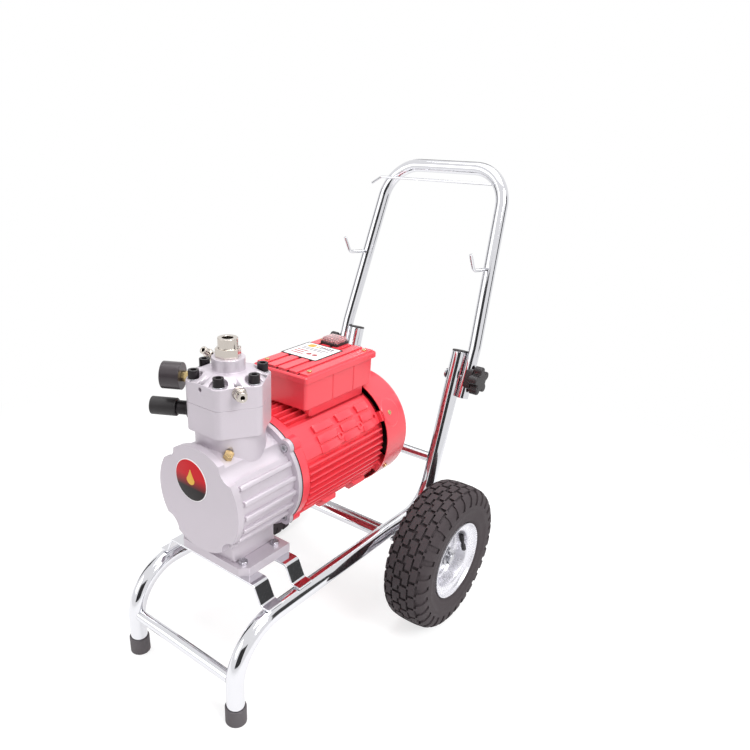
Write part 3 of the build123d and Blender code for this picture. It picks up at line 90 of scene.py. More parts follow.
def finish(name, colour, metallic, roughness, grain=0.002, mottle=0.06, bump=0.0, spread=0.05,
           **sockets):
    """A finish whose colour and gloss wander over some centimetres, with a grain in metres."""
    if isinstance(colour, str):
        colour = linear(colour)
    material = bpy.data.materials.new(name)
    material.use_nodes = True
    tree = material.node_tree
    shader = tree.nodes["Principled BSDF"]
    shader.inputs["Metallic"].default_value = metallic
    for socket, value in sockets.items():
        shader.inputs[socket.replace("_", " ")].default_value = value
    place = add_node(tree, "ShaderNodeTexCoord").outputs["Object"]
    patches = add_node(tree, "ShaderNodeTexNoise", {
        "Vector": place,
        "Scale": 22.0,
        "Detail": 4.0,
    })
    fine = add_node(tree, "ShaderNodeTexNoise", {
        "Vector": place,
        "Scale": 1 / grain,
        "Detail": 3.0,
    })
    both = add_node(tree, "ShaderNodeMath", {
        0: patches.outputs["Fac"],
        1: fine.outputs["Fac"],
    }, operation="ADD")
    half = add_node(tree, "ShaderNodeMath", {0: both.outputs[0], 1: 0.5}, operation="MULTIPLY")
    tint = add_node(tree, "ShaderNodeMix", {
        "Factor": half.outputs[0],
        "A": shade(colour, 1 - mottle),
        "B": shade(colour, 1 + mottle),
    }, data_type="RGBA")
    tree.links.new(tint.outputs["Result"], shader.inputs["Base Color"])
    # The two noises together stay between about 0.35 and 0.65.
    rough = add_node(tree, "ShaderNodeMapRange", {
        "Value": half.outputs[0],
        "From Min": 0.35,
        "From Max": 0.65,
        "To Min": max(0.0, roughness - spread),
        "To Max": roughness + spread,
    })
    tree.links.new(rough.outputs["Result"], shader.inputs["Roughness"])
    if bump:
        relief = add_node(tree, "ShaderNodeBump", {
            "Height": fine.outputs["Fac"],
            "Strength": bump,
            "Distance": grain * 0.35,
        })
        tree.links.new(relief.outputs["Normal"], shader.inputs["Normal"])
    MATERIALS[name] = material
    return material


def make_finishes(colours):
    """Every finish of the machine, named for what it is and how its surface was made."""
    # Sprayed gloss enamel over castings: orange peel about 2 mm across blurs the highlights.
    finish("gloss_enamel", tuple(colours.enamel), 0.0, 0.34, grain=0.0021, mottle=0.07, bump=0.16,
           Coat_Weight=0.35, Coat_Roughness=0.14, Specular_IOR_Level=0.5)
    # Bead-blasted aluminium under a satin silver lacquer: an even pale grey. The real grit is finer
    # than the 1.2 mm drawn here, which is as coarse as it needs to show.
    blasted = {"grain": 0.0012, "mottle": 0.09, "bump": 0.35}
    finish("blasted_casting", tuple(colours.casting), 0.45, 0.42, **blasted)
    # The same casting with its cast edges rounded off by 1.2 mm in the shading.
    casting = finish("rounded_casting", tuple(colours.casting), 0.45, 0.42, **blasted)
    tree = casting.node_tree
    edges = add_node(tree, "ShaderNodeBevel", {"Radius": 0.0012}, samples=4)
    relief = next(node for node in tree.nodes if node.type == "BUMP")
    tree.links.new(edges.outputs["Normal"], relief.inputs["Normal"])
    # Bright chrome plate on drawn tube: a mirror whose gloss wanders a little along its length.
    finish("chrome_plate", "#dcdce0", 1.0, 0.07, grain=0.004, mottle=0.03, spread=0.03)
    # Nickel-plated brass fittings: warmer and softer than chrome.
    finish("nickel_plate", "#cfc7bf", 1.0, 0.16, grain=0.0016, mottle=0.06, bump=0.05)
    # Turned brass, slightly dulled by air.
    finish("turned_brass", "#cdb682", 1.0, 0.24, grain=0.0012, mottle=0.08, bump=0.05)
    # Bright zinc plate on fasteners: a cloudy grey mirror.
    finish("zinc_plate", "#b9b9bd", 1.0, 0.28, grain=0.0014, mottle=0.08, bump=0.06)
    # Black oxide on socket screws: dark steel with a dull gleam.
    finish("black_oxide", "#262225", 0.6, 0.34, grain=0.001, mottle=0.15, bump=0.08)
    # Dark stove lacquer on the drawn steel of the gauge: satin, with a soft sheen.
    finish("stove_lacquer", "#362f33", 0.2, 0.33, grain=0.0015, mottle=0.1, bump=0.06,
           Coat_Weight=0.25, Coat_Roughness=0.2)
    # Moulded nylon of the knobs: the real spark-eroded texture is finer than the 0.8 mm drawn here.
    finish("moulded_nylon", tuple(colours.plastic), 0.0, 0.46, grain=0.0008, mottle=0.12, bump=0.18)
    # Vulcanised tyre rubber, dusty from the mould: very rough, with a pale bloom in patches.
    finish("tyre_rubber", tuple(colours.rubber), 0.0, 0.82, grain=0.0014, mottle=0.22, bump=0.35,
           spread=0.08)
    # Grey moulded rubber feet.
    finish("foot_rubber", "#5a5558", 0.0, 0.7, grain=0.0012, mottle=0.12, bump=0.25)
    # Silver paint baked on the pressed steel rims: pale, half metallic, with a soft gloss.
    finish("silver_paint", "#dcdbe1", 0.55, 0.27, grain=0.003, mottle=0.04, bump=0.015,
           Coat_Weight=0.3, Coat_Roughness=0.1)
    # Black sealing sheet between pump and motor.
    finish("gasket_sheet", "#1d191b", 0.0, 0.75, grain=0.0009, mottle=0.15, bump=0.2)
    # Ground and turned steel of the inner works.
    finish("ground_steel", "#a5a5aa", 1.0, 0.22, grain=0.0009, mottle=0.06, bump=0.05)
    # Stacked electrical steel: fine dark layers.
    finish("stacked_steel", "#5b5a5e", 0.8, 0.5, grain=0.0012, mottle=0.25, bump=0.3)
    # Varnished copper wire in a bundle.
    finish("varnished_copper", "#8f4a23", 0.7, 0.35, grain=0.0012, mottle=0.3, bump=0.5)
    # White enamelled dial plate.
    finish("dial_enamel", "#efefea", 0.0, 0.35, grain=0.002, mottle=0.02)
    # Black printing ink.
    finish("print_black", "#141214", 0.0, 0.5, grain=0.001, mottle=0.2)
    # White vinyl sticker, glossy.
    finish("label_vinyl", "#f4f1f2", 0.0, 0.32, grain=0.002, mottle=0.02,
           Coat_Weight=0.3, Coat_Roughness=0.08)
    # Amber and grey inks of the sticker.
    finish("label_amber", "#e0a038", 0.0, 0.4, grain=0.002, mottle=0.06)
    finish("label_grey", "#77737a", 0.0, 0.4, grain=0.002, mottle=0.06)
    # Ivory moulded can of a motor capacitor.
    finish("capacitor_can", "#dcd8cc", 0.0, 0.4, grain=0.0015, mottle=0.04, bump=0.06)
    # Glossy red plastic of the mains switch's rocker, and the sticker's red ink.
    finish("rocker_gloss", "#a3121c", 0.0, 0.22, grain=0.002, mottle=0.08,
           Coat_Weight=0.4, Coat_Roughness=0.06)
    # Soft clear vinyl boot over the switch: a rosy tint.
    finish("clear_vinyl", "#f3c3c6", 0.0, 0.18, grain=0.003, mottle=0.04,
           Transmission_Weight=0.75, IOR=1.45, Coat_Weight=0.3)
    # Float glass of the gauge.
    finish("clear_glass", "#f4f7f7", 0.0, 0.03, grain=0.004, mottle=0.01, spread=0.01,
           Transmission_Weight=1.0, IOR=1.5)
    # Gold hot-stamped foil on the front badge.
    finish("gold_foil", "#d8ab4c", 0.9, 0.3, grain=0.0015, mottle=0.08)
    badge_enamel()


def badge_enamel():
    """Badge enamel: red at the top that darkens to black at the bottom."""
    low, high = AXIS_Z - 0.002, AXIS_Z + 0.0595
    material = finish("badge_enamel", "#b3131b", 0.0, 0.42, grain=0.003, mottle=0.05,
                      Specular_IOR_Level=0.25)
    tree = material.node_tree
    shader = tree.nodes["Principled BSDF"]
    place = add_node(tree, "ShaderNodeTexCoord").outputs["Object"]
    height = add_node(tree, "ShaderNodeSeparateXYZ", {"Vector": place}).outputs["Z"]
    share = add_node(tree, "ShaderNodeMapRange", {
        "Value": height,
        "From Min": low,
        "From Max": high,
        "To Min": 0.0,
        "To Max": 1.0,
    })
    ramp = add_node(tree, "ShaderNodeValToRGB", {"Fac": share.outputs["Result"]})
    dark, red = ramp.color_ramp.elements
    dark.position = 0.3
    dark.color = linear("#160b0e")
    red.position = 0.62
    red.color = linear("#cb1420")
    tree.links.new(ramp.outputs["Color"], shader.inputs["Base Color"])


# Pieces

def add_piece(name, bm, materials, body, nodes=(), sharp=38.0, bevel=0.0):
    """Turn a finished bmesh into an object that rides on its body."""
    mesh = bpy.data.meshes.new(name)
    bm.to_mesh(mesh)
    bm.free()
    mesh.shade_smooth()
    mesh.set_sharp_from_angle(angle=math.radians(sharp))
    for material in [materials] if isinstance(materials, str) else materials:
        mesh.materials.append(MATERIALS[material])
    piece = bpy.data.objects.new(name, mesh)
    bpy.context.scene.collection.objects.link(piece)
    if bevel:
        rounding = piece.modifiers.new("Rounding", "BEVEL")
        rounding.width = bevel
        rounding.segments = 2
        rounding.limit_method = "ANGLE"
        rounding.angle_limit = math.radians(sharp)
        rounding.use_clamp_overlap = False
        rounding.harden_normals = True
    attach(piece, body)
    if nodes:
        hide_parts(*nodes)
    return piece


def body_of(node):
    """The body that a CAD node rides on."""
    bodies = frame["record"]["behaviour"]["bodies"]
    return next(name for name, nodes in bodies.items() if node in nodes)


def islands(bm):
    """The separate shells of a bmesh, each a list of faces."""
    left = set(bm.faces)
    while left:
        start = left.pop()
        shell, queue = [start], [start]
        while queue:
            face = queue.pop()
            for edge in face.edges:
                for other in edge.link_faces:
                    if other in left:
                        left.remove(other)
                        shell.append(other)
                        queue.append(other)
        yield shell


def shell_box(shell):
    """The lowest and the highest corner of a shell."""
    points = [vert.co for face in shell for vert in face.verts]
    low = Vector([min(p[i] for p in points) for i in range(3)])
    high = Vector([max(p[i] for p in points) for i in range(3)])
    return low, high


def skin(node, materials, rounding=0.0006, choose=None):
    """A copy of a CAD node with its triangles merged, its edges rounded and its curves smooth.

    Where a node's shells differ in finish, choose takes a shell's lowest and highest corner and
    gives the place of its finish in materials.
    """
    sharp = 32.0
    bm = bmesh.new()
    bm.from_mesh(frame["nodes"][node].data)
    bmesh.ops.remove_doubles(bm, verts=bm.verts, dist=5e-6)
    bmesh.ops.dissolve_degenerate(bm, edges=bm.edges, dist=2e-5)
    flat = math.radians(0.3)
    bmesh.ops.dissolve_limit(bm, angle_limit=flat, verts=bm.verts, edges=bm.edges)
    for face in bm.faces:
        face.material_index = 0
    if choose:
        for shell in islands(bm):
            index = choose(*shell_box(shell))
            for face in shell:
                face.material_index = index
    return add_piece(
        node + "_skin", bm, materials, body_of(node), (node,), sharp, rounding,
    )


def repaint(material, *nodes):
    """Give CAD nodes that stay as they are their finish."""
    for node in nodes:
        mesh = frame["nodes"][node].data
        mesh.materials.clear()
        mesh.materials.append(MATERIALS[material])


def centre_of(node):
    """The middle of a CAD node's box."""
    low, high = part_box(node)
    return (low + high) / 2


def spin_profile(bm, points, steps):
    """Spin a closed outline of (x, radius) points about the X axis through the origin."""
    verts = [bm.verts.new((x, 0, r)) for x, r in points]
    edges = [bm.edges.new(pair) for pair in zip(verts, verts[1:])]
    edges.append(bm.edges.new((verts[-1], verts[0])))
    bmesh.ops.spin(
        bm, geom=verts + edges, axis=(1, 0, 0), cent=(0, 0, 0), dvec=(0, 0, 0),
        angle=math.tau, steps=steps, use_merge=True, use_duplicate=False,
    )
    bmesh.ops.remove_doubles(bm, verts=bm.verts, dist=1e-7)
    bmesh.ops.recalc_face_normals(bm, faces=bm.faces)


def join_into(bm, part):
    """Move the contents of one bmesh into another."""
    mesh = bpy.data.meshes.new("part")
    part.to_mesh(mesh)
    part.free()
    bm.from_mesh(mesh)
    bpy.data.meshes.remove(mesh)


def round_edges(bm, edges, width, segments):
    """Round some edges of a bmesh."""
    bmesh.ops.bevel(
        bm, geom=list(edges), offset=width, segments=segments, profile=0.5, affect="EDGES",
        material=-1,
    )


def mirror(part):
    """Turn a part over to the machine's other side, with its faces still outwards."""
    part.transform(Matrix.Scale(-1, 4, (1, 0, 0)))
    bmesh.ops.reverse_faces(part, faces=part.faces)


def rounded_bar(size, rounding, segments):
    """A bar about the origin with every edge rounded."""
    part = bmesh.new()
    bmesh.ops.create_cube(part, size=1.0, matrix=Matrix.Diagonal((*size, 1)))
    round_edges(part, part.edges, rounding, segments)
    return part


def set_on_barrel(part, angle, radius, y, side):
    """Stand a part's X axis out from the axis, at an angle above level, on one side."""
    turn = math.radians(angle)
    where = Vector((radius * math.cos(turn), y, AXIS_Z + radius * math.sin(turn)))
    part.transform(Matrix.Translation(where) @ Matrix.Rotation(-turn, 4, "Y"))
    if side < 0:
        mirror(part)


# Wheels

# One pitch of the tread in five steps, band by band from the middle to the shoulder: where each
# band starts and ends in millimetres, its blocks (# is rubber, . is groove) and its shift in steps.
TREAD_BANDS = (
    (0.0, 4.0, "##...", 0),
    (4.0, 13.0, "####.", 0),
    (13.0, 16.5, "#....", 1),
    (16.5, 26.0, "####.", 2),
    (26.0, 30.0, "#....", 3),
    (30.0, 39.5, "###..", 4),
)
TREAD_STEPS = 5
# How far the left half's pattern is turned from the right half's, in steps.
LEFT_SHIFT = 2
# The tread ends this far from the axle, down the tyre's shoulder.
TREAD_INNER_RADIUS = 0.104

# A tyre's outline in millimetres: the distance from its middle and the drop from its crown.
NOMINAL_TYRE_RADIUS = 0.13
TYRE_OUTLINE = (
    (0.0, 0.0), (4.0, 0.0), (13.0, 0.3), (16.5, 0.6), (26.0, 2.2), (30.0, 4.0), (34.0, 7.4),
    (37.2, 13.0), (38.7, 20.0), (39.0, 27.0), (38.6, 34.0), (38.95, 36.0), (38.4, 38.0),
    (37.6, 44.0), (36.6, 50.0), (36.8, 52.0), (35.6, 55.0), (33.6, 59.0), (31.0, 61.5),
)

# One pressed half of a rim, as distances from its middle and radii in metres, and the hub's radius.
HUB_RADIUS = 0.0171
RIM_OUTLINE = (
    (0.0003, HUB_RADIUS), (0.0025, HUB_RADIUS), (0.0025, 0.0240), (0.0045, 0.0265),
    (0.0045, 0.0405), (0.0028, 0.0430), (0.0032, 0.0470), (0.0060, 0.0494), (0.0110, 0.0500),
    (0.0240, 0.0512), (0.0262, 0.0522), (0.0276, 0.0546), (0.0284, 0.0600), (0.0296, 0.0634),
    (0.0322, 0.0658), (0.0350, 0.0668), (0.0357, 0.0678), (0.0352, 0.0690), (0.0334, 0.0692),
    (0.0300, 0.0676), (0.0274, 0.0640), (0.0262, 0.0570), (0.0240, 0.0532), (0.0080, 0.0520),
    (0.0003, 0.0500),
)

# A tyre valve along its own axis: rubber root, threaded stem and cap.
VALVE_OUTLINE = (
    (0.0, 0.0004), (0.0, 0.0042), (0.012, 0.0046), (0.019, 0.0040), (0.0195, 0.0030),
    (0.027, 0.0030), (0.0275, 0.0042), (0.037, 0.0040), (0.0385, 0.0028), (0.0386, 0.0004),
)


def tyre_profile(radius, lip):
    """The right half of a tyre's outline, from its middle to its bead behind the rim's lip."""
    bead = (0.0265, lip - 0.002)
    scale = radius / NOMINAL_TYRE_RADIUS
    return [(x / 1000, radius - drop / 1000 * scale) for x, drop in TYRE_OUTLINE] + [bead]


def in_groove(face, pitches):
    """Whether a face of the tyre's skin lies in a groove of the tread."""
    middle = face.calc_center_median()
    if math.hypot(middle.y, middle.z) < TREAD_INNER_RADIUS:
        return False
    across = abs(middle.x) * 1000
    round_share = (math.atan2(middle.z, middle.y) % math.tau) / math.tau
    step = int(round_share * pitches * TREAD_STEPS + 0.001)
    for low, high, pattern, shift in TREAD_BANDS:
        if low <= across < high:
            turn = shift if middle.x > 0 else shift + LEFT_SHIFT
            return pattern[(step + turn) % TREAD_STEPS] == "."
    return False


def make_tyre(side, sizes):
    """One tyre: a spun skin whose grooves are pressed in, shallower towards the shoulder."""
    node = f"tyre_{side}"
    low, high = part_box(node)
    rim_low, rim_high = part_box(f"rim_{side}")
    middle = centre_of(f"rim_{side}")
    right = tyre_profile((high.z - low.z) / 2, (rim_high.z - rim_low.z) / 2)
    profile = right + [(-x, r) for x, r in reversed(right) if x > 0]
    bm = bmesh.new()
    spin_profile(bm, profile, sizes.tread_pitches * TREAD_STEPS)
    grooves = [face for face in bm.faces if in_groove(face, sizes.tread_pitches)]
    made = bmesh.ops.extrude_face_region(bm, geom=grooves)
    bmesh.ops.delete(bm, geom=[face for face in grooves if face.is_valid], context="FACES")
    shoulder_start, shoulder_width = 0.028, 0.011
    for vert in [item for item in made["geom"] if isinstance(item, bmesh.types.BMVert)]:
        reach = math.hypot(vert.co.y, vert.co.z)
        slope = min(1.0, max(0.0, (abs(vert.co.x) - shoulder_start) / shoulder_width))
        depth = sizes.tread_depth * (1 - 0.75 * slope)
        vert.co.y *= (reach - depth) / reach
        vert.co.z *= (reach - depth) / reach
        vert.co.x *= 1 - 0.06 * slope
    bmesh.ops.recalc_face_normals(bm, faces=bm.faces)
    bmesh.ops.translate(bm, vec=middle, verts=bm.verts)
    add_piece(f"tread_{side}", bm, "tyre_rubber", f"wheel_{side}", (node,), 30.0)
    make_valve(side, middle)


def make_valve(side, middle):
    """The tyre's valve: rubber root, threaded stem and cap, leaning out through the dish."""
    turn = math.radians(27.0)
    bm = bmesh.new()
    spin_profile(bm, VALVE_OUTLINE, 24)
    root = Vector((0.011, 0.055 * math.cos(turn), 0.055 * math.sin(turn)))
    tip = Vector((0.030, 0.030 * math.cos(turn), 0.030 * math.sin(turn)))
    lean = Vector((1, 0, 0)).rotation_difference(tip - root).to_matrix().to_4x4()
    bm.transform(Matrix.Translation(root) @ lean)
    if SIDES[side] < 0:
        bm.transform(Matrix.Scale(-1, 4, (1, 0, 0)))
        bmesh.ops.recalc_face_normals(bm, faces=bm.faces)
    bmesh.ops.translate(bm, vec=middle, verts=bm.verts)
    add_piece(f"valve_{side}", bm, "moulded_nylon", f"wheel_{side}", (), 30.0)


def make_rim(side):
    """Both pressed halves of a rim, with rolled lips and a deep dish."""
    node = f"rim_{side}"
    bm = bmesh.new()
    for sign in (-1, 1):
        part = bmesh.new()
        spin_profile(part, [(sign * x, r) for x, r in RIM_OUTLINE], 96)
        join_into(bm, part)
    bmesh.ops.translate(bm, vec=centre_of(node), verts=bm.verts)
    add_piece(
        f"dish_{side}", bm, "silver_paint", f"wheel_{side}", (node,), 40.0,
    )


# Motor and pump

# The cast pads along the motor, from front to back, and their terraces by angle and rise.
PAD_LENGTHS = ((-0.106, -0.062), (-0.048, -0.010), (0.004, 0.034))
PAD_TERRACES = ((27.0, 0.0016), (36.5, 0.0036), (47.5, 0.0050))
BOSS_OUTLINE = (
    (-0.004, 0.0068), (0.0022, 0.0068), (0.0028, 0.0062), (0.0028, 0.0036), (0.0024, 0.0032),
    (-0.004, 0.0032),
)


def make_pad_steps():
    """Cast terraces on the motor's flanks, in three lengths, with round bosses between them."""
    thickness, width = 0.012, 0.0135
    pad_radius = 0.091
    boss_angle, boss_radius = 31.0, 0.0905
    steps = bmesh.new()
    bosses = bmesh.new()
    for side in (1, -1):
        for front, back in PAD_LENGTHS:
            for angle, rise in PAD_TERRACES:
                part = rounded_bar((thickness, back - front, width), 0.0011, 2)
                radius = pad_radius - thickness / 2 + rise
                set_on_barrel(part, angle, radius, (front + back) / 2, side)
                join_into(steps, part)
        for y in (-0.055, -0.003):
            part = bmesh.new()
            spin_profile(part, BOSS_OUTLINE, 32)
            set_on_barrel(part, boss_angle, boss_radius, y, side)
            join_into(bosses, part)
    add_piece("pad_steps", steps, "gloss_enamel", "root", ())
    add_piece("pad_bosses", bosses, "gloss_enamel", "root", ())


def make_casting_ribs():
    """Thick cast ribs along both flanks of the pump's barrel, rounded at ends and edges."""
    low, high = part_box("pump_casing")
    front, back = low.y + 0.0145, high.y - 0.0070
    bm = bmesh.new()
    for side in (1, -1):
        for angle in range(-52, 29, 16):
            part = rounded_bar((0.012, back - front, 0.0082), 0.0026, 4)
            set_on_barrel(part, angle, 0.0800, (front + back) / 2, side)
            join_into(bm, part)
    add_piece("casting_ribs", bm, "blasted_casting", "root", ())


def make_foot_webs():
    """Sloping webs that rise from the pump's foot to its barrel, inside the foot's bolts."""
    width, length, height, slope = 0.015, 0.090, 0.030, 0.008
    foot_top, sunk = 0.2150, 0.0005
    bm = bmesh.new()
    for side in (1, -1):
        part = bmesh.new()
        middle = Vector((side * 0.0405, -0.2206, foot_top - sunk + height / 2))
        matrix = Matrix.Translation(middle) @ Matrix.Diagonal((width, length, height, 1))
        bmesh.ops.create_cube(part, size=1.0, matrix=matrix)
        for vert in part.verts:
            if vert.co.z > middle.z and side * (vert.co.x - middle.x) > 0:
                vert.co.x -= side * slope
        round_edges(part, part.edges, 0.003, 3)
        join_into(bm, part)
    add_piece("foot_webs", bm, "blasted_casting", "root", ())


def make_cover_lobes():
    """Round lobes pressed outwards in the fan cover's sheet around its upper screws."""
    low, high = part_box("fan_cover")
    radius = (high.x - low.x) / 2
    axis_z = low.z + radius
    screw_y = low.y + 0.0215
    reach, lift, sunk = 0.030, 0.0019, 0.0004
    bm = bmesh.new()
    for angle in (30, 150):
        part = bmesh.new()
        bmesh.ops.create_grid(part, x_segments=40, y_segments=28, size=reach)
        corners = [v for v in part.verts if math.hypot(v.co.x, v.co.y) > reach * 1.001]
        bmesh.ops.delete(part, geom=corners, context="VERTS")
        for vert in part.verts:
            along, around = vert.co.x, vert.co.y
            far = math.hypot(along, around)
            fall = min(1.0, max(0.0, (reach * 0.92 - far) / (reach * 0.16)))
            out = radius + (lift * fall * fall * (3 - 2 * fall) - sunk)
            turn = math.radians(angle) + around / radius
            vert.co = Vector((0, 0, axis_z)) + Vector((
                out * math.cos(turn),
                screw_y + along * 0.86,
                out * math.sin(turn),
            ))
        front, back = low.y + 0.0005, high.y - 0.006
        beyond = [v for v in part.verts if v.co.y < front or v.co.y > back]
        bmesh.ops.delete(part, geom=beyond, context="VERTS")
        join_into(bm, part)
    bmesh.ops.recalc_face_normals(bm, faces=bm.faces)
    add_piece("cover_lobes", bm, "gloss_enamel", "root", (), 60.0)


# Label and switch

# What is printed on the sticker, ink by ink: the piece, its finish, and its blocks in millimetres
# from the sticker's corner, as place across, place along, width, length and corner radius.
LABEL_PRINT = (
    ("label_amber", "label_amber", [(12, 52, 14, 14, 4), (30, 54, 3, 11, 1)]),
    ("label_grey", "label_grey", [
        *[(36 + 5.6 * column, 55, 3.6, 9, 0.8) for column in range(5)],
        (10, 46, 52, 2.6, 0), (10, 40, 44, 2.6, 0),
    ]),
    ("label_red", "rocker_gloss", [
        (10, 30, 24, 3.4, 0), (10, 22, 20, 3.4, 0), (10, 14, 24, 3.4, 0),
    ]),
)


def plate(bm, low, high, rounding=0.0):
    """A flat block between two corners, with its upright edges rounded."""
    size = [b - a for a, b in zip(low, high)]
    middle = [(a + b) / 2 for a, b in zip(low, high)]
    matrix = Matrix.Translation(middle) @ Matrix.Diagonal((*size, 1))
    verts = bmesh.ops.create_cube(bm, size=1.0, matrix=matrix)["verts"]
    if rounding:
        edges = {edge for vert in verts for edge in vert.link_edges}
        upright = [e for e in edges if abs(e.verts[0].co.z - e.verts[1].co.z) > 1e-6]
        round_edges(bm, upright, rounding, 4)


def make_label():
    """A plain sticker on the lid: black border, white field, and bars and dots as its print."""
    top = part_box("terminal_box_lid")[1].z
    middle = centre_of("terminal_box_lid")
    left, right = middle.x - 0.0535, middle.x + 0.0205
    near, far = middle.y - 0.0275, middle.y + 0.0455
    border = 0.003
    print_low, print_high = top + 0.0005, top + 0.0008
    bm = bmesh.new()
    plate(bm, (left, near, top - 0.0002), (right, far, top + 0.0004), 0.002)
    add_piece("label_border", bm, "print_black", "root")
    bm = bmesh.new()
    plate(
        bm, (left + border, near + border, top), (right - border, far - border, top + 0.0006),
        0.0015,
    )
    add_piece("label_field", bm, "label_vinyl", "root")
    for name, material, blocks in LABEL_PRINT:
        bm = bmesh.new()
        for block in blocks:
            across, along, width, length, rounding = [value / 1000 for value in block]
            x, y = left + across, near + along
            plate(bm, (x, y, print_low), (x + width, y + length, print_high), rounding)
        if name == "label_red":
            for across in (0.042, 0.054):
                centre = (left + across, near + 0.022, print_low)
                disc_at(bm, centre, (0, 0, 1), 0.0046, 0.0004, 32)
        add_piece(name, bm, material, "root")


def make_switch_boot():
    """A soft clear boot over the rocker: a hollow pyramid with a flat top."""
    low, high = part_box("switch_frame")
    x, y = (low.x + high.x) / 2, (low.y + high.y) / 2
    width, length, height, sunk, taper = 0.035, 0.031, 0.0075, 0.00025, 0.84
    bm = bmesh.new()
    middle = Vector((x, y, high.z - sunk + height / 2))
    matrix = Matrix.Translation(middle) @ Matrix.Diagonal((width, length, height, 1))
    bmesh.ops.create_cube(bm, size=1.0, matrix=matrix)
    for vert in bm.verts:
        if vert.co.z > middle.z:
            vert.co.x = x + (vert.co.x - x) * taper
            vert.co.y = y + (vert.co.y - y) * taper
    base = [face for face in bm.faces if face.calc_center_median().z < high.z]
    bmesh.ops.delete(bm, geom=base, context="FACES")
    round_edges(bm, [edge for edge in bm.edges if edge.is_manifold], 0.0016, 3)
    piece = add_piece("switch_boot", bm, "clear_vinyl", "root")
    wall = piece.modifiers.new("Wall", "SOLIDIFY")
    wall.thickness = 0.0009
    wall.offset = -1.0


# Badge and gauge

def disc_at(bm, centre, normal, radius, thickness, segments=64, rounding=0.0):
    """A round plate that stands on its centre and faces along its normal."""
    normal = Vector(normal)
    turn = Vector((0, 0, 1)).rotation_difference(normal).to_matrix().to_4x4()
    matrix = Matrix.Translation(Vector(centre) + normal * thickness / 2) @ turn
    made = bmesh.ops.create_cone(
        bm, cap_ends=True, cap_tris=False, segments=segments, radius1=radius, radius2=radius,
        depth=thickness, matrix=matrix,
    )
    if rounding:
        faces = {face for vert in made["verts"] for face in vert.link_faces}
        front = max(faces, key=lambda face: face.calc_center_median().dot(normal))
        round_edges(bm, front.edges, rounding, 3)


def make_badge():
    """The round badge on the pump's front, with a plain paint drop on it."""
    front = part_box("pump_casing")[0].y
    centre = Vector((-0.011, front, AXIS_Z + 0.029))
    out = Vector((0, -1, 0))
    thickness, rounding = 0.0012, 0.0004
    bm = bmesh.new()
    disc_at(bm, centre + out * -0.0004, out, 0.0335, thickness, 96, rounding)
    add_piece("badge_rim", bm, "label_vinyl", "root")
    bm = bmesh.new()
    disc_at(bm, centre, out, 0.0322, thickness, 96, rounding)
    add_piece("badge_face", bm, "badge_enamel", "root")

    drop_radius, drop_height = 0.0085, 0.0004
    bm = bmesh.new()
    verts = bmesh.ops.create_circle(bm, cap_ends=True, segments=48, radius=drop_radius)["verts"]
    for vert in verts:
        if vert.co.y > 0:
            lift = vert.co.y / drop_radius
            vert.co.x *= 1 - 0.72 * lift
            vert.co.y *= 1 + 0.9 * lift
    made = bmesh.ops.extrude_face_region(bm, geom=list(bm.faces))
    raised = [item for item in made["geom"] if isinstance(item, bmesh.types.BMVert)]
    bmesh.ops.translate(bm, vec=(0, 0, drop_height), verts=raised)
    where = Matrix.Translation(centre + out * 0.0011 + Vector((0, 0, 0.0015)))
    bm.transform(where @ Matrix.Rotation(math.pi / 2, 4, "X"))
    bmesh.ops.recalc_face_normals(bm, faces=bm.faces)
    add_piece("badge_drop", bm, "gold_foil", "root")


def make_dial_marks():
    """Ticks and plain numbers printed on the gauge's dial."""
    facing = math.radians(210)
    axis = Vector((math.cos(facing), math.sin(facing), 0))
    up = Vector((0, 0, 1))
    right = up.cross(axis).normalized()
    dial = frame["nodes"]["gauge_dial"].data
    reach = sorted(Vector(v.co).dot(axis) for v in dial.vertices)
    middle = centre_of("gauge_case")
    centre = middle + axis * (reach[-1] - 0.0025 - middle.dot(axis) + 0.0001)
    place = Matrix((
        (right.x, up.x, axis.x, centre.x),
        (right.y, up.y, axis.y, centre.y),
        (right.z, up.z, axis.z, centre.z),
        (0, 0, 0, 1),
    ))
    start, sweep = 225, 270
    ticks, numbers = 50, 5
    tick_radius, number_radius, raised = 0.0168, 0.0112, 0.0001
    bm = bmesh.new()
    for index in range(ticks + 1):
        angle = math.radians(start - index * sweep / ticks)
        length, width = (0.0028, 0.0005) if index % 5 == 0 else (0.0016, 0.00025)
        matrix = Matrix.Rotation(angle, 4, "Z")
        matrix = matrix @ Matrix.Translation((tick_radius - length / 2, 0, raised))
        matrix = matrix @ Matrix.Diagonal((length, width, 0.0002, 1))
        bmesh.ops.create_cube(bm, size=1.0, matrix=matrix)
    for index in range(numbers + 1):
        text = bpy.data.curves.new("number", "FONT")
        text.body = str(index * 50)
        text.size = 0.0034
        text.align_x = "CENTER"
        text.align_y = "CENTER"
        text.extrude = 0.0001
        holder = bpy.data.objects.new("number", text)
        mesh = bpy.data.meshes.new_from_object(holder)
        angle = math.radians(start - index * sweep / numbers)
        where = (number_radius * math.cos(angle), number_radius * math.sin(angle), raised)
        mesh.transform(Matrix.Translation(where))
        bm.from_mesh(mesh)
        bpy.data.objects.remove(holder)
        bpy.data.curves.remove(text)
        bpy.data.meshes.remove(mesh)
    bm.transform(place)
    add_piece("dial_marks", bm, "print_black", "root", ())


# Stage

# Dark cards that only reflections see: name, place, width, height and brightness.
CARDS = (
    ("card_behind", (1.6, -3.3, 1.1), 3.0, 2.2, 0.03),
    ("card_left", (-3.2, -0.6, 1.2), 1.0, 2.4, 0.05),
    ("card_right", (2.9, 1.6, 1.0), 1.1, 2.4, 0.05),
    ("card_rear", (-1.4, 3.2, 1.6), 1.2, 2.0, 0.06),
)
CARD_TARGET = (0, 0, 0.4)
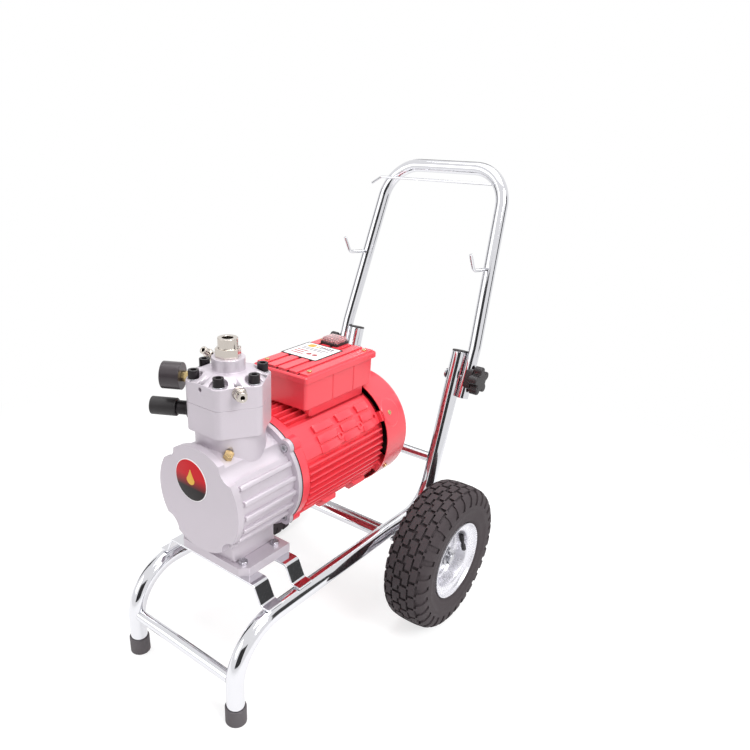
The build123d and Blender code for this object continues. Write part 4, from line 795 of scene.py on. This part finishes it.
# Soft square lamps: name, place, what it points at, width and power in watts.
LAMPS = (
    ("key_lamp", (2.5, -0.3, 2.5), (0, 0, 0.3), 1.4, 66.0),
    ("top_lamp", (0.1, 0.1, 3.0), (0, 0, 0.3), 2.2, 58.0),
    ("front_lamp", (-1.6, -2.9, 1.5), (0, -0.1, 0.35), 1.6, 14.0),
)
WHITE = (1, 1, 1, 1)


def make_stage(sizes):
    """The white surroundings, the floor, the cards, the lamps and the camera."""
    bpy.context.scene.view_settings.view_transform = "Standard"
    make_world()
    make_floor()
    for card in CARDS:
        add_card(*card)
    for name, place, target, size, power in LAMPS:
        add_lamp(name, place, target, size, power * sizes.lamp_level)
    make_camera()


def seen_rays(tree):
    """One for rays from the camera, or ones that metal mirrors or glass lets through."""
    rays = add_node(tree, "ShaderNodeLightPath").outputs
    direct = add_node(tree, "ShaderNodeMath", {
        0: rays["Is Camera Ray"],
        1: rays["Is Glossy Ray"],
    }, operation="MAXIMUM")
    return add_node(tree, "ShaderNodeMath", {
        0: direct.outputs[0],
        1: rays["Is Transmission Ray"],
    }, operation="MAXIMUM").outputs[0]


def make_world():
    """White surroundings that light the object at about half of the white that is seen."""
    world = bpy.data.worlds.new("studio")
    bpy.context.scene.world = world
    world.use_nodes = True
    tree = world.node_tree
    tree.nodes.clear()
    fill = add_node(tree, "ShaderNodeBackground", {"Color": WHITE, "Strength": 0.55})
    bright = add_node(tree, "ShaderNodeBackground", {"Color": WHITE, "Strength": 1.0})
    mix = add_node(tree, "ShaderNodeMixShader", {
        0: seen_rays(tree),
        1: fill.outputs[0],
        2: bright.outputs[0],
    })
    add_node(tree, "ShaderNodeOutputWorld", {"Surface": mix.outputs[0]})


def make_floor():
    """A pale floor that keeps the object's shadow and fades to plain white further out."""
    bm = bmesh.new()
    bmesh.ops.create_grid(bm, x_segments=1, y_segments=1, size=7.0)
    bmesh.ops.translate(bm, vec=(0, 0, -0.0003), verts=bm.verts)
    material = bpy.data.materials.new("white_sweep")
    material.use_nodes = True
    tree = material.node_tree
    tree.nodes.clear()
    paper = add_node(tree, "ShaderNodeBsdfDiffuse", {"Color": (0.75, 0.75, 0.75, 1)})
    pale = add_node(tree, "ShaderNodeBsdfDiffuse", {"Color": (0.42, 0.42, 0.42, 1)})
    glow = add_node(tree, "ShaderNodeEmission", {"Color": WHITE, "Strength": 0.7})
    near = add_node(tree, "ShaderNodeAddShader", {0: pale.outputs[0], 1: glow.outputs[0]})
    far = add_node(tree, "ShaderNodeEmission", {"Color": WHITE, "Strength": 1.0})
    place = add_node(tree, "ShaderNodeTexCoord").outputs["Object"]
    reach = add_node(tree, "ShaderNodeVectorMath", {0: place}, operation="LENGTH")
    away = add_node(tree, "ShaderNodeMapRange", {
        "Value": reach.outputs["Value"],
        "From Min": 0.55,
        "From Max": 1.3,
    }, interpolation_type="SMOOTHSTEP")
    bright = add_node(tree, "ShaderNodeMixShader", {
        0: away.outputs["Result"],
        1: near.outputs[0],
        2: far.outputs[0],
    })
    mix = add_node(tree, "ShaderNodeMixShader", {
        0: seen_rays(tree),
        1: paper.outputs[0],
        2: bright.outputs[0],
    })
    add_node(tree, "ShaderNodeOutputMaterial", {"Surface": mix.outputs[0]})
    add_plain("floor", bm, material)


def add_plain(name, bm, material):
    """Turn a finished bmesh into an object that isn't part of the sprayer."""
    mesh = bpy.data.meshes.new(name)
    bm.to_mesh(mesh)
    bm.free()
    mesh.materials.append(material)
    made = bpy.data.objects.new(name, mesh)
    bpy.context.scene.collection.objects.link(made)
    return made


def add_lamp(name, place, target, size, power):
    """A soft square lamp that points at its target."""
    lamp = bpy.data.lights.new(name, "AREA")
    lamp.size = size
    lamp.energy = power
    holder = bpy.data.objects.new(name, lamp)
    holder.location = place
    holder.rotation_euler = (Vector(target) - Vector(place)).to_track_quat("-Z", "Y").to_euler()
    bpy.context.scene.collection.objects.link(holder)


def add_card(name, place, width, height, level):
    """A dark card that only reflections see, so that plated metal has dark streaks."""
    bm = bmesh.new()
    bmesh.ops.create_grid(bm, x_segments=1, y_segments=1, size=0.5)
    bmesh.ops.scale(bm, vec=(width, height, 1), verts=bm.verts)
    turn = (Vector(place) - Vector(CARD_TARGET)).to_track_quat("Z", "Y").to_matrix().to_4x4()
    bm.transform(Matrix.Translation(place) @ turn)
    material = bpy.data.materials.new(name)
    material.use_nodes = True
    inputs = material.node_tree.nodes["Principled BSDF"].inputs
    inputs["Base Color"].default_value = (level, level, level, 1)
    inputs["Roughness"].default_value = 0.9
    card = add_plain(name, bm, material)
    card.visible_camera = False
    card.visible_diffuse = False
    card.visible_shadow = False


def make_camera():
    """The camera, a little above the handle, in front of the pump and to its right."""
    camera = bpy.data.cameras.new("camera")
    camera.sensor_width = 36.0
    camera.lens = 32.86
    camera.shift_x = 0.1123
    camera.shift_y = 0.0902
    camera.clip_start = 0.05
    heading, pitch, roll = 40.96, 25.52, 0.52
    place = Vector((0.66555, -0.85149, 0.8209))
    turn = Matrix.Rotation(math.radians(heading), 4, "Z")
    turn = turn @ Matrix.Rotation(math.radians(90 - pitch), 4, "X")
    turn = turn @ Matrix.Rotation(math.radians(roll), 4, "Z")
    holder = bpy.data.objects.new("camera", camera)
    holder.matrix_world = Matrix.Translation(place) @ turn
    bpy.context.scene.collection.objects.link(holder)
    bpy.context.scene.camera = holder


# What a user can change

class SprayerSizes(bpy.types.PropertyGroup):
    tread_depth: FloatProperty(
        name="Tread depth",
        description="Depth of the grooves between the tyre's blocks",
        default=0.0045, min=0.001, max=0.007, unit="LENGTH", precision=4,
    )
    tread_pitches: IntProperty(
        name="Tread pitches",
        description="How often the tread pattern repeats round a tyre",
        default=30, min=16, max=48,
    )
    lamp_level: FloatProperty(
        name="Lamp level",
        description="Brightness of the studio lamps together",
        default=1.0, min=0.1, max=3.0, subtype="FACTOR",
    )


class SprayerColours(bpy.types.PropertyGroup):
    enamel: FloatVectorProperty(
        name="Motor enamel", description="Colour of the motor's gloss enamel",
        subtype="COLOR", size=4, min=0.0, max=1.0, default=linear("#e8414d"),
    )
    casting: FloatVectorProperty(
        name="Pump casting", description="Colour of the pump's blasted castings",
        subtype="COLOR", size=4, min=0.0, max=1.0, default=linear("#cbc3cb"),
    )
    rubber: FloatVectorProperty(
        name="Tyre rubber", description="Colour of the tyres",
        subtype="COLOR", size=4, min=0.0, max=1.0, default=linear("#3a3235"),
    )
    plastic: FloatVectorProperty(
        name="Moulded nylon", description="Colour of the knobs and the valve handle",
        subtype="COLOR", size=4, min=0.0, max=1.0, default=linear("#221e20"),
    )


class SPRAYER_OT_stage(bpy.types.Operator):
    """Set up the floor, the lamps, the camera and every finish"""
    bl_idname = "sprayer.stage"
    bl_label = "Stage and Finishes"

    def execute(self, context):
        make_stage(context.scene.sprayer_sizes)
        make_finishes(context.scene.sprayer_colours)
        return {"FINISHED"}


class SPRAYER_OT_trolley(bpy.types.Operator):
    """Build the chromed trolley frame, its straps and its feet"""
    bl_idname = "sprayer.trolley"
    bl_label = "Trolley Frame"

    def execute(self, context):
        for node in ("frame_left", "frame_right", "frame_cross_members"):
            skin(node, "chrome_plate", 0.0004)
        skin("mount_straps", "chrome_plate", 0.0008)
        # The rubber feet are the low end caps, the nylon plugs the high ones.
        skin(
            "tube_end_caps", ["foot_rubber", "moulded_nylon"], 0.0008,
            lambda low, high: int(high.z > 0.1),
        )
        return {"FINISHED"}


class SPRAYER_OT_wheels(bpy.types.Operator):
    """Build both wheels with their tyres, rims, valves and hubs"""
    bl_idname = "sprayer.wheels"
    bl_label = "Wheels"

    def execute(self, context):
        for side in SIDES:
            make_tyre(side, context.scene.sprayer_sizes)
            make_rim(side)
            skin(f"hub_{side}", "zinc_plate", 0.0006)
            skin(f"rim_bolts_{side}", "zinc_plate", 0.0004)
        skin("axle", "zinc_plate", 0.0005)
        skin("axle_fasteners", "zinc_plate", 0.0004)
        return {"FINISHED"}


class SPRAYER_OT_handle(bpy.types.Operator):
    """Build the folding handle, its hooks and its clamp knobs"""
    bl_idname = "sprayer.handle"
    bl_label = "Folding Handle"

    def execute(self, context):
        skin("handle_tube", "chrome_plate", 0.0003)
        skin("hose_hooks", "chrome_plate", 0.0003)
        skin("clamp_saddles", "moulded_nylon", 0.0010)
        skin("clamp_knob_left", "moulded_nylon", 0.0022)
        skin("clamp_knob_right", "moulded_nylon", 0.0022)
        skin("clamp_bolts", "zinc_plate", 0.0006)
        return {"FINISHED"}


class SPRAYER_OT_pump(bpy.types.Operator):
    """Build the pump's castings, screws and badge"""
    bl_idname = "sprayer.pump"
    bl_label = "Pump"

    def execute(self, context):
        repaint("rounded_casting", "pump_casing")
        skin("head_cover", "blasted_casting", 0.0009)
        skin("oil_plug", "turned_brass", 0.0005)
        skin("casing_bolts", "zinc_plate", 0.0005)
        skin("flange_gasket", "gasket_sheet", 0.0002)
        # The washers are the shells under 3 mm high.
        skin(
            "head_screws", ["black_oxide", "zinc_plate"], 0.0005,
            lambda low, high: int(high.z - low.z < 0.003),
        )
        make_badge()
        make_casting_ribs()
        make_foot_webs()
        repaint("ground_steel", "cylinder_sleeve", "piston", "piston_spring", "inlet_poppet")
        repaint("gasket_sheet", "diaphragm")
        return {"FINISHED"}


class SPRAYER_OT_fittings(bpy.types.Operator):
    """Build the hose fittings, the pressure gauge and the pressure valve"""
    bl_idname = "sprayer.fittings"
    bl_label = "Fittings and Gauge"

    def execute(self, context):
        for node in ("inlet_fitting", "outlet_fitting", "return_elbow"):
            skin(node, "nickel_plate", 0.0007)
        skin("gauge_stem", "turned_brass", 0.0004)
        skin("gauge_case", "stove_lacquer", 0.0005)
        skin("gauge_dial", "dial_enamel", 0.0001)
        skin("gauge_lens", "clear_glass", 0.0001)
        skin("gauge_needle", "print_black", 0.0001)
        make_dial_marks()
        skin("pressure_valve", "black_oxide", 0.0006)
        skin("pressure_knob", "moulded_nylon", 0.0008)
        return {"FINISHED"}


class SPRAYER_OT_motor(bpy.types.Operator):
    """Build the finned motor and its fan cover"""
    bl_idname = "sprayer.motor"
    bl_label = "Motor"

    def execute(self, context):
        skin("motor_front_shield", "gloss_enamel", 0.0009)
        skin("motor_housing", "gloss_enamel", 0.0007)
        skin("motor_rear_shield", "gloss_enamel", 0.0006)
        skin("fan_cover", "gloss_enamel", 0.0004)
        skin("cover_screws", "turned_brass", 0.0004)
        make_pad_steps()
        make_cover_lobes()
        repaint("stacked_steel", "stator_core", "rotor_core")
        repaint("varnished_copper", "stator_windings")
        repaint("ground_steel", "motor_shaft", "motor_bearings", "eccentric")
        skin("cooling_fan", "moulded_nylon", 0.0005)
        return {"FINISHED"}


class SPRAYER_OT_terminal_box(bpy.types.Operator):
    """Build the terminal box with its lid, label, switch and cable gland"""
    bl_idname = "sprayer.terminal_box"
    bl_label = "Terminal Box"

    def execute(self, context):
        skin("terminal_box", "gloss_enamel", 0.0010)
        skin("terminal_box_lid", "gloss_enamel", 0.0008)
        skin("switch_frame", "moulded_nylon", 0.0007)
        skin("switch_rocker", "rocker_gloss", 0.0006)
        skin("cable_gland", "moulded_nylon", 0.0006)
        repaint("capacitor_can", "capacitor")
        make_label()
        make_switch_boot()
        return {"FINISHED"}


class SPRAYER_PT_panel(bpy.types.Panel):
    """Lists the sprayer's settings and the steps that build it"""
    bl_label = "Airless Paint Sprayer"
    bl_idname = "SPRAYER_PT_panel"
    bl_space_type = "VIEW_3D"
    bl_region_type = "UI"
    bl_category = "Sprayer"

    def draw(self, context):
        layout = self.layout
        for group in (context.scene.sprayer_sizes, context.scene.sprayer_colours):
            for name in group.bl_rna.properties.keys():
                if name not in ("rna_type", "name"):
                    layout.prop(group, name)
        for operator in OPERATORS:
            layout.operator(operator.bl_idname)


OPERATORS = (
    SPRAYER_OT_stage,
    SPRAYER_OT_trolley,
    SPRAYER_OT_wheels,
    SPRAYER_OT_handle,
    SPRAYER_OT_pump,
    SPRAYER_OT_fittings,
    SPRAYER_OT_motor,
    SPRAYER_OT_terminal_box,
)
CLASSES = (SprayerSizes, SprayerColours, *OPERATORS, SPRAYER_PT_panel)


def register():
    for cls in CLASSES:
        bpy.utils.register_class(cls)
    bpy.types.Scene.sprayer_sizes = PointerProperty(type=SprayerSizes)
    bpy.types.Scene.sprayer_colours = PointerProperty(type=SprayerColours)


def unregister():
    del bpy.types.Scene.sprayer_colours
    del bpy.types.Scene.sprayer_sizes
    for cls in reversed(CLASSES):
        bpy.utils.unregister_class(cls)


def main():
    register()
    bpy.ops.sprayer.stage()
    bpy.ops.sprayer.trolley()
    bpy.ops.sprayer.wheels()
    bpy.ops.sprayer.handle()
    bpy.ops.sprayer.pump()
    bpy.ops.sprayer.fittings()
    bpy.ops.sprayer.motor()
    bpy.ops.sprayer.terminal_box()


if __name__ == "__main__":
    main()
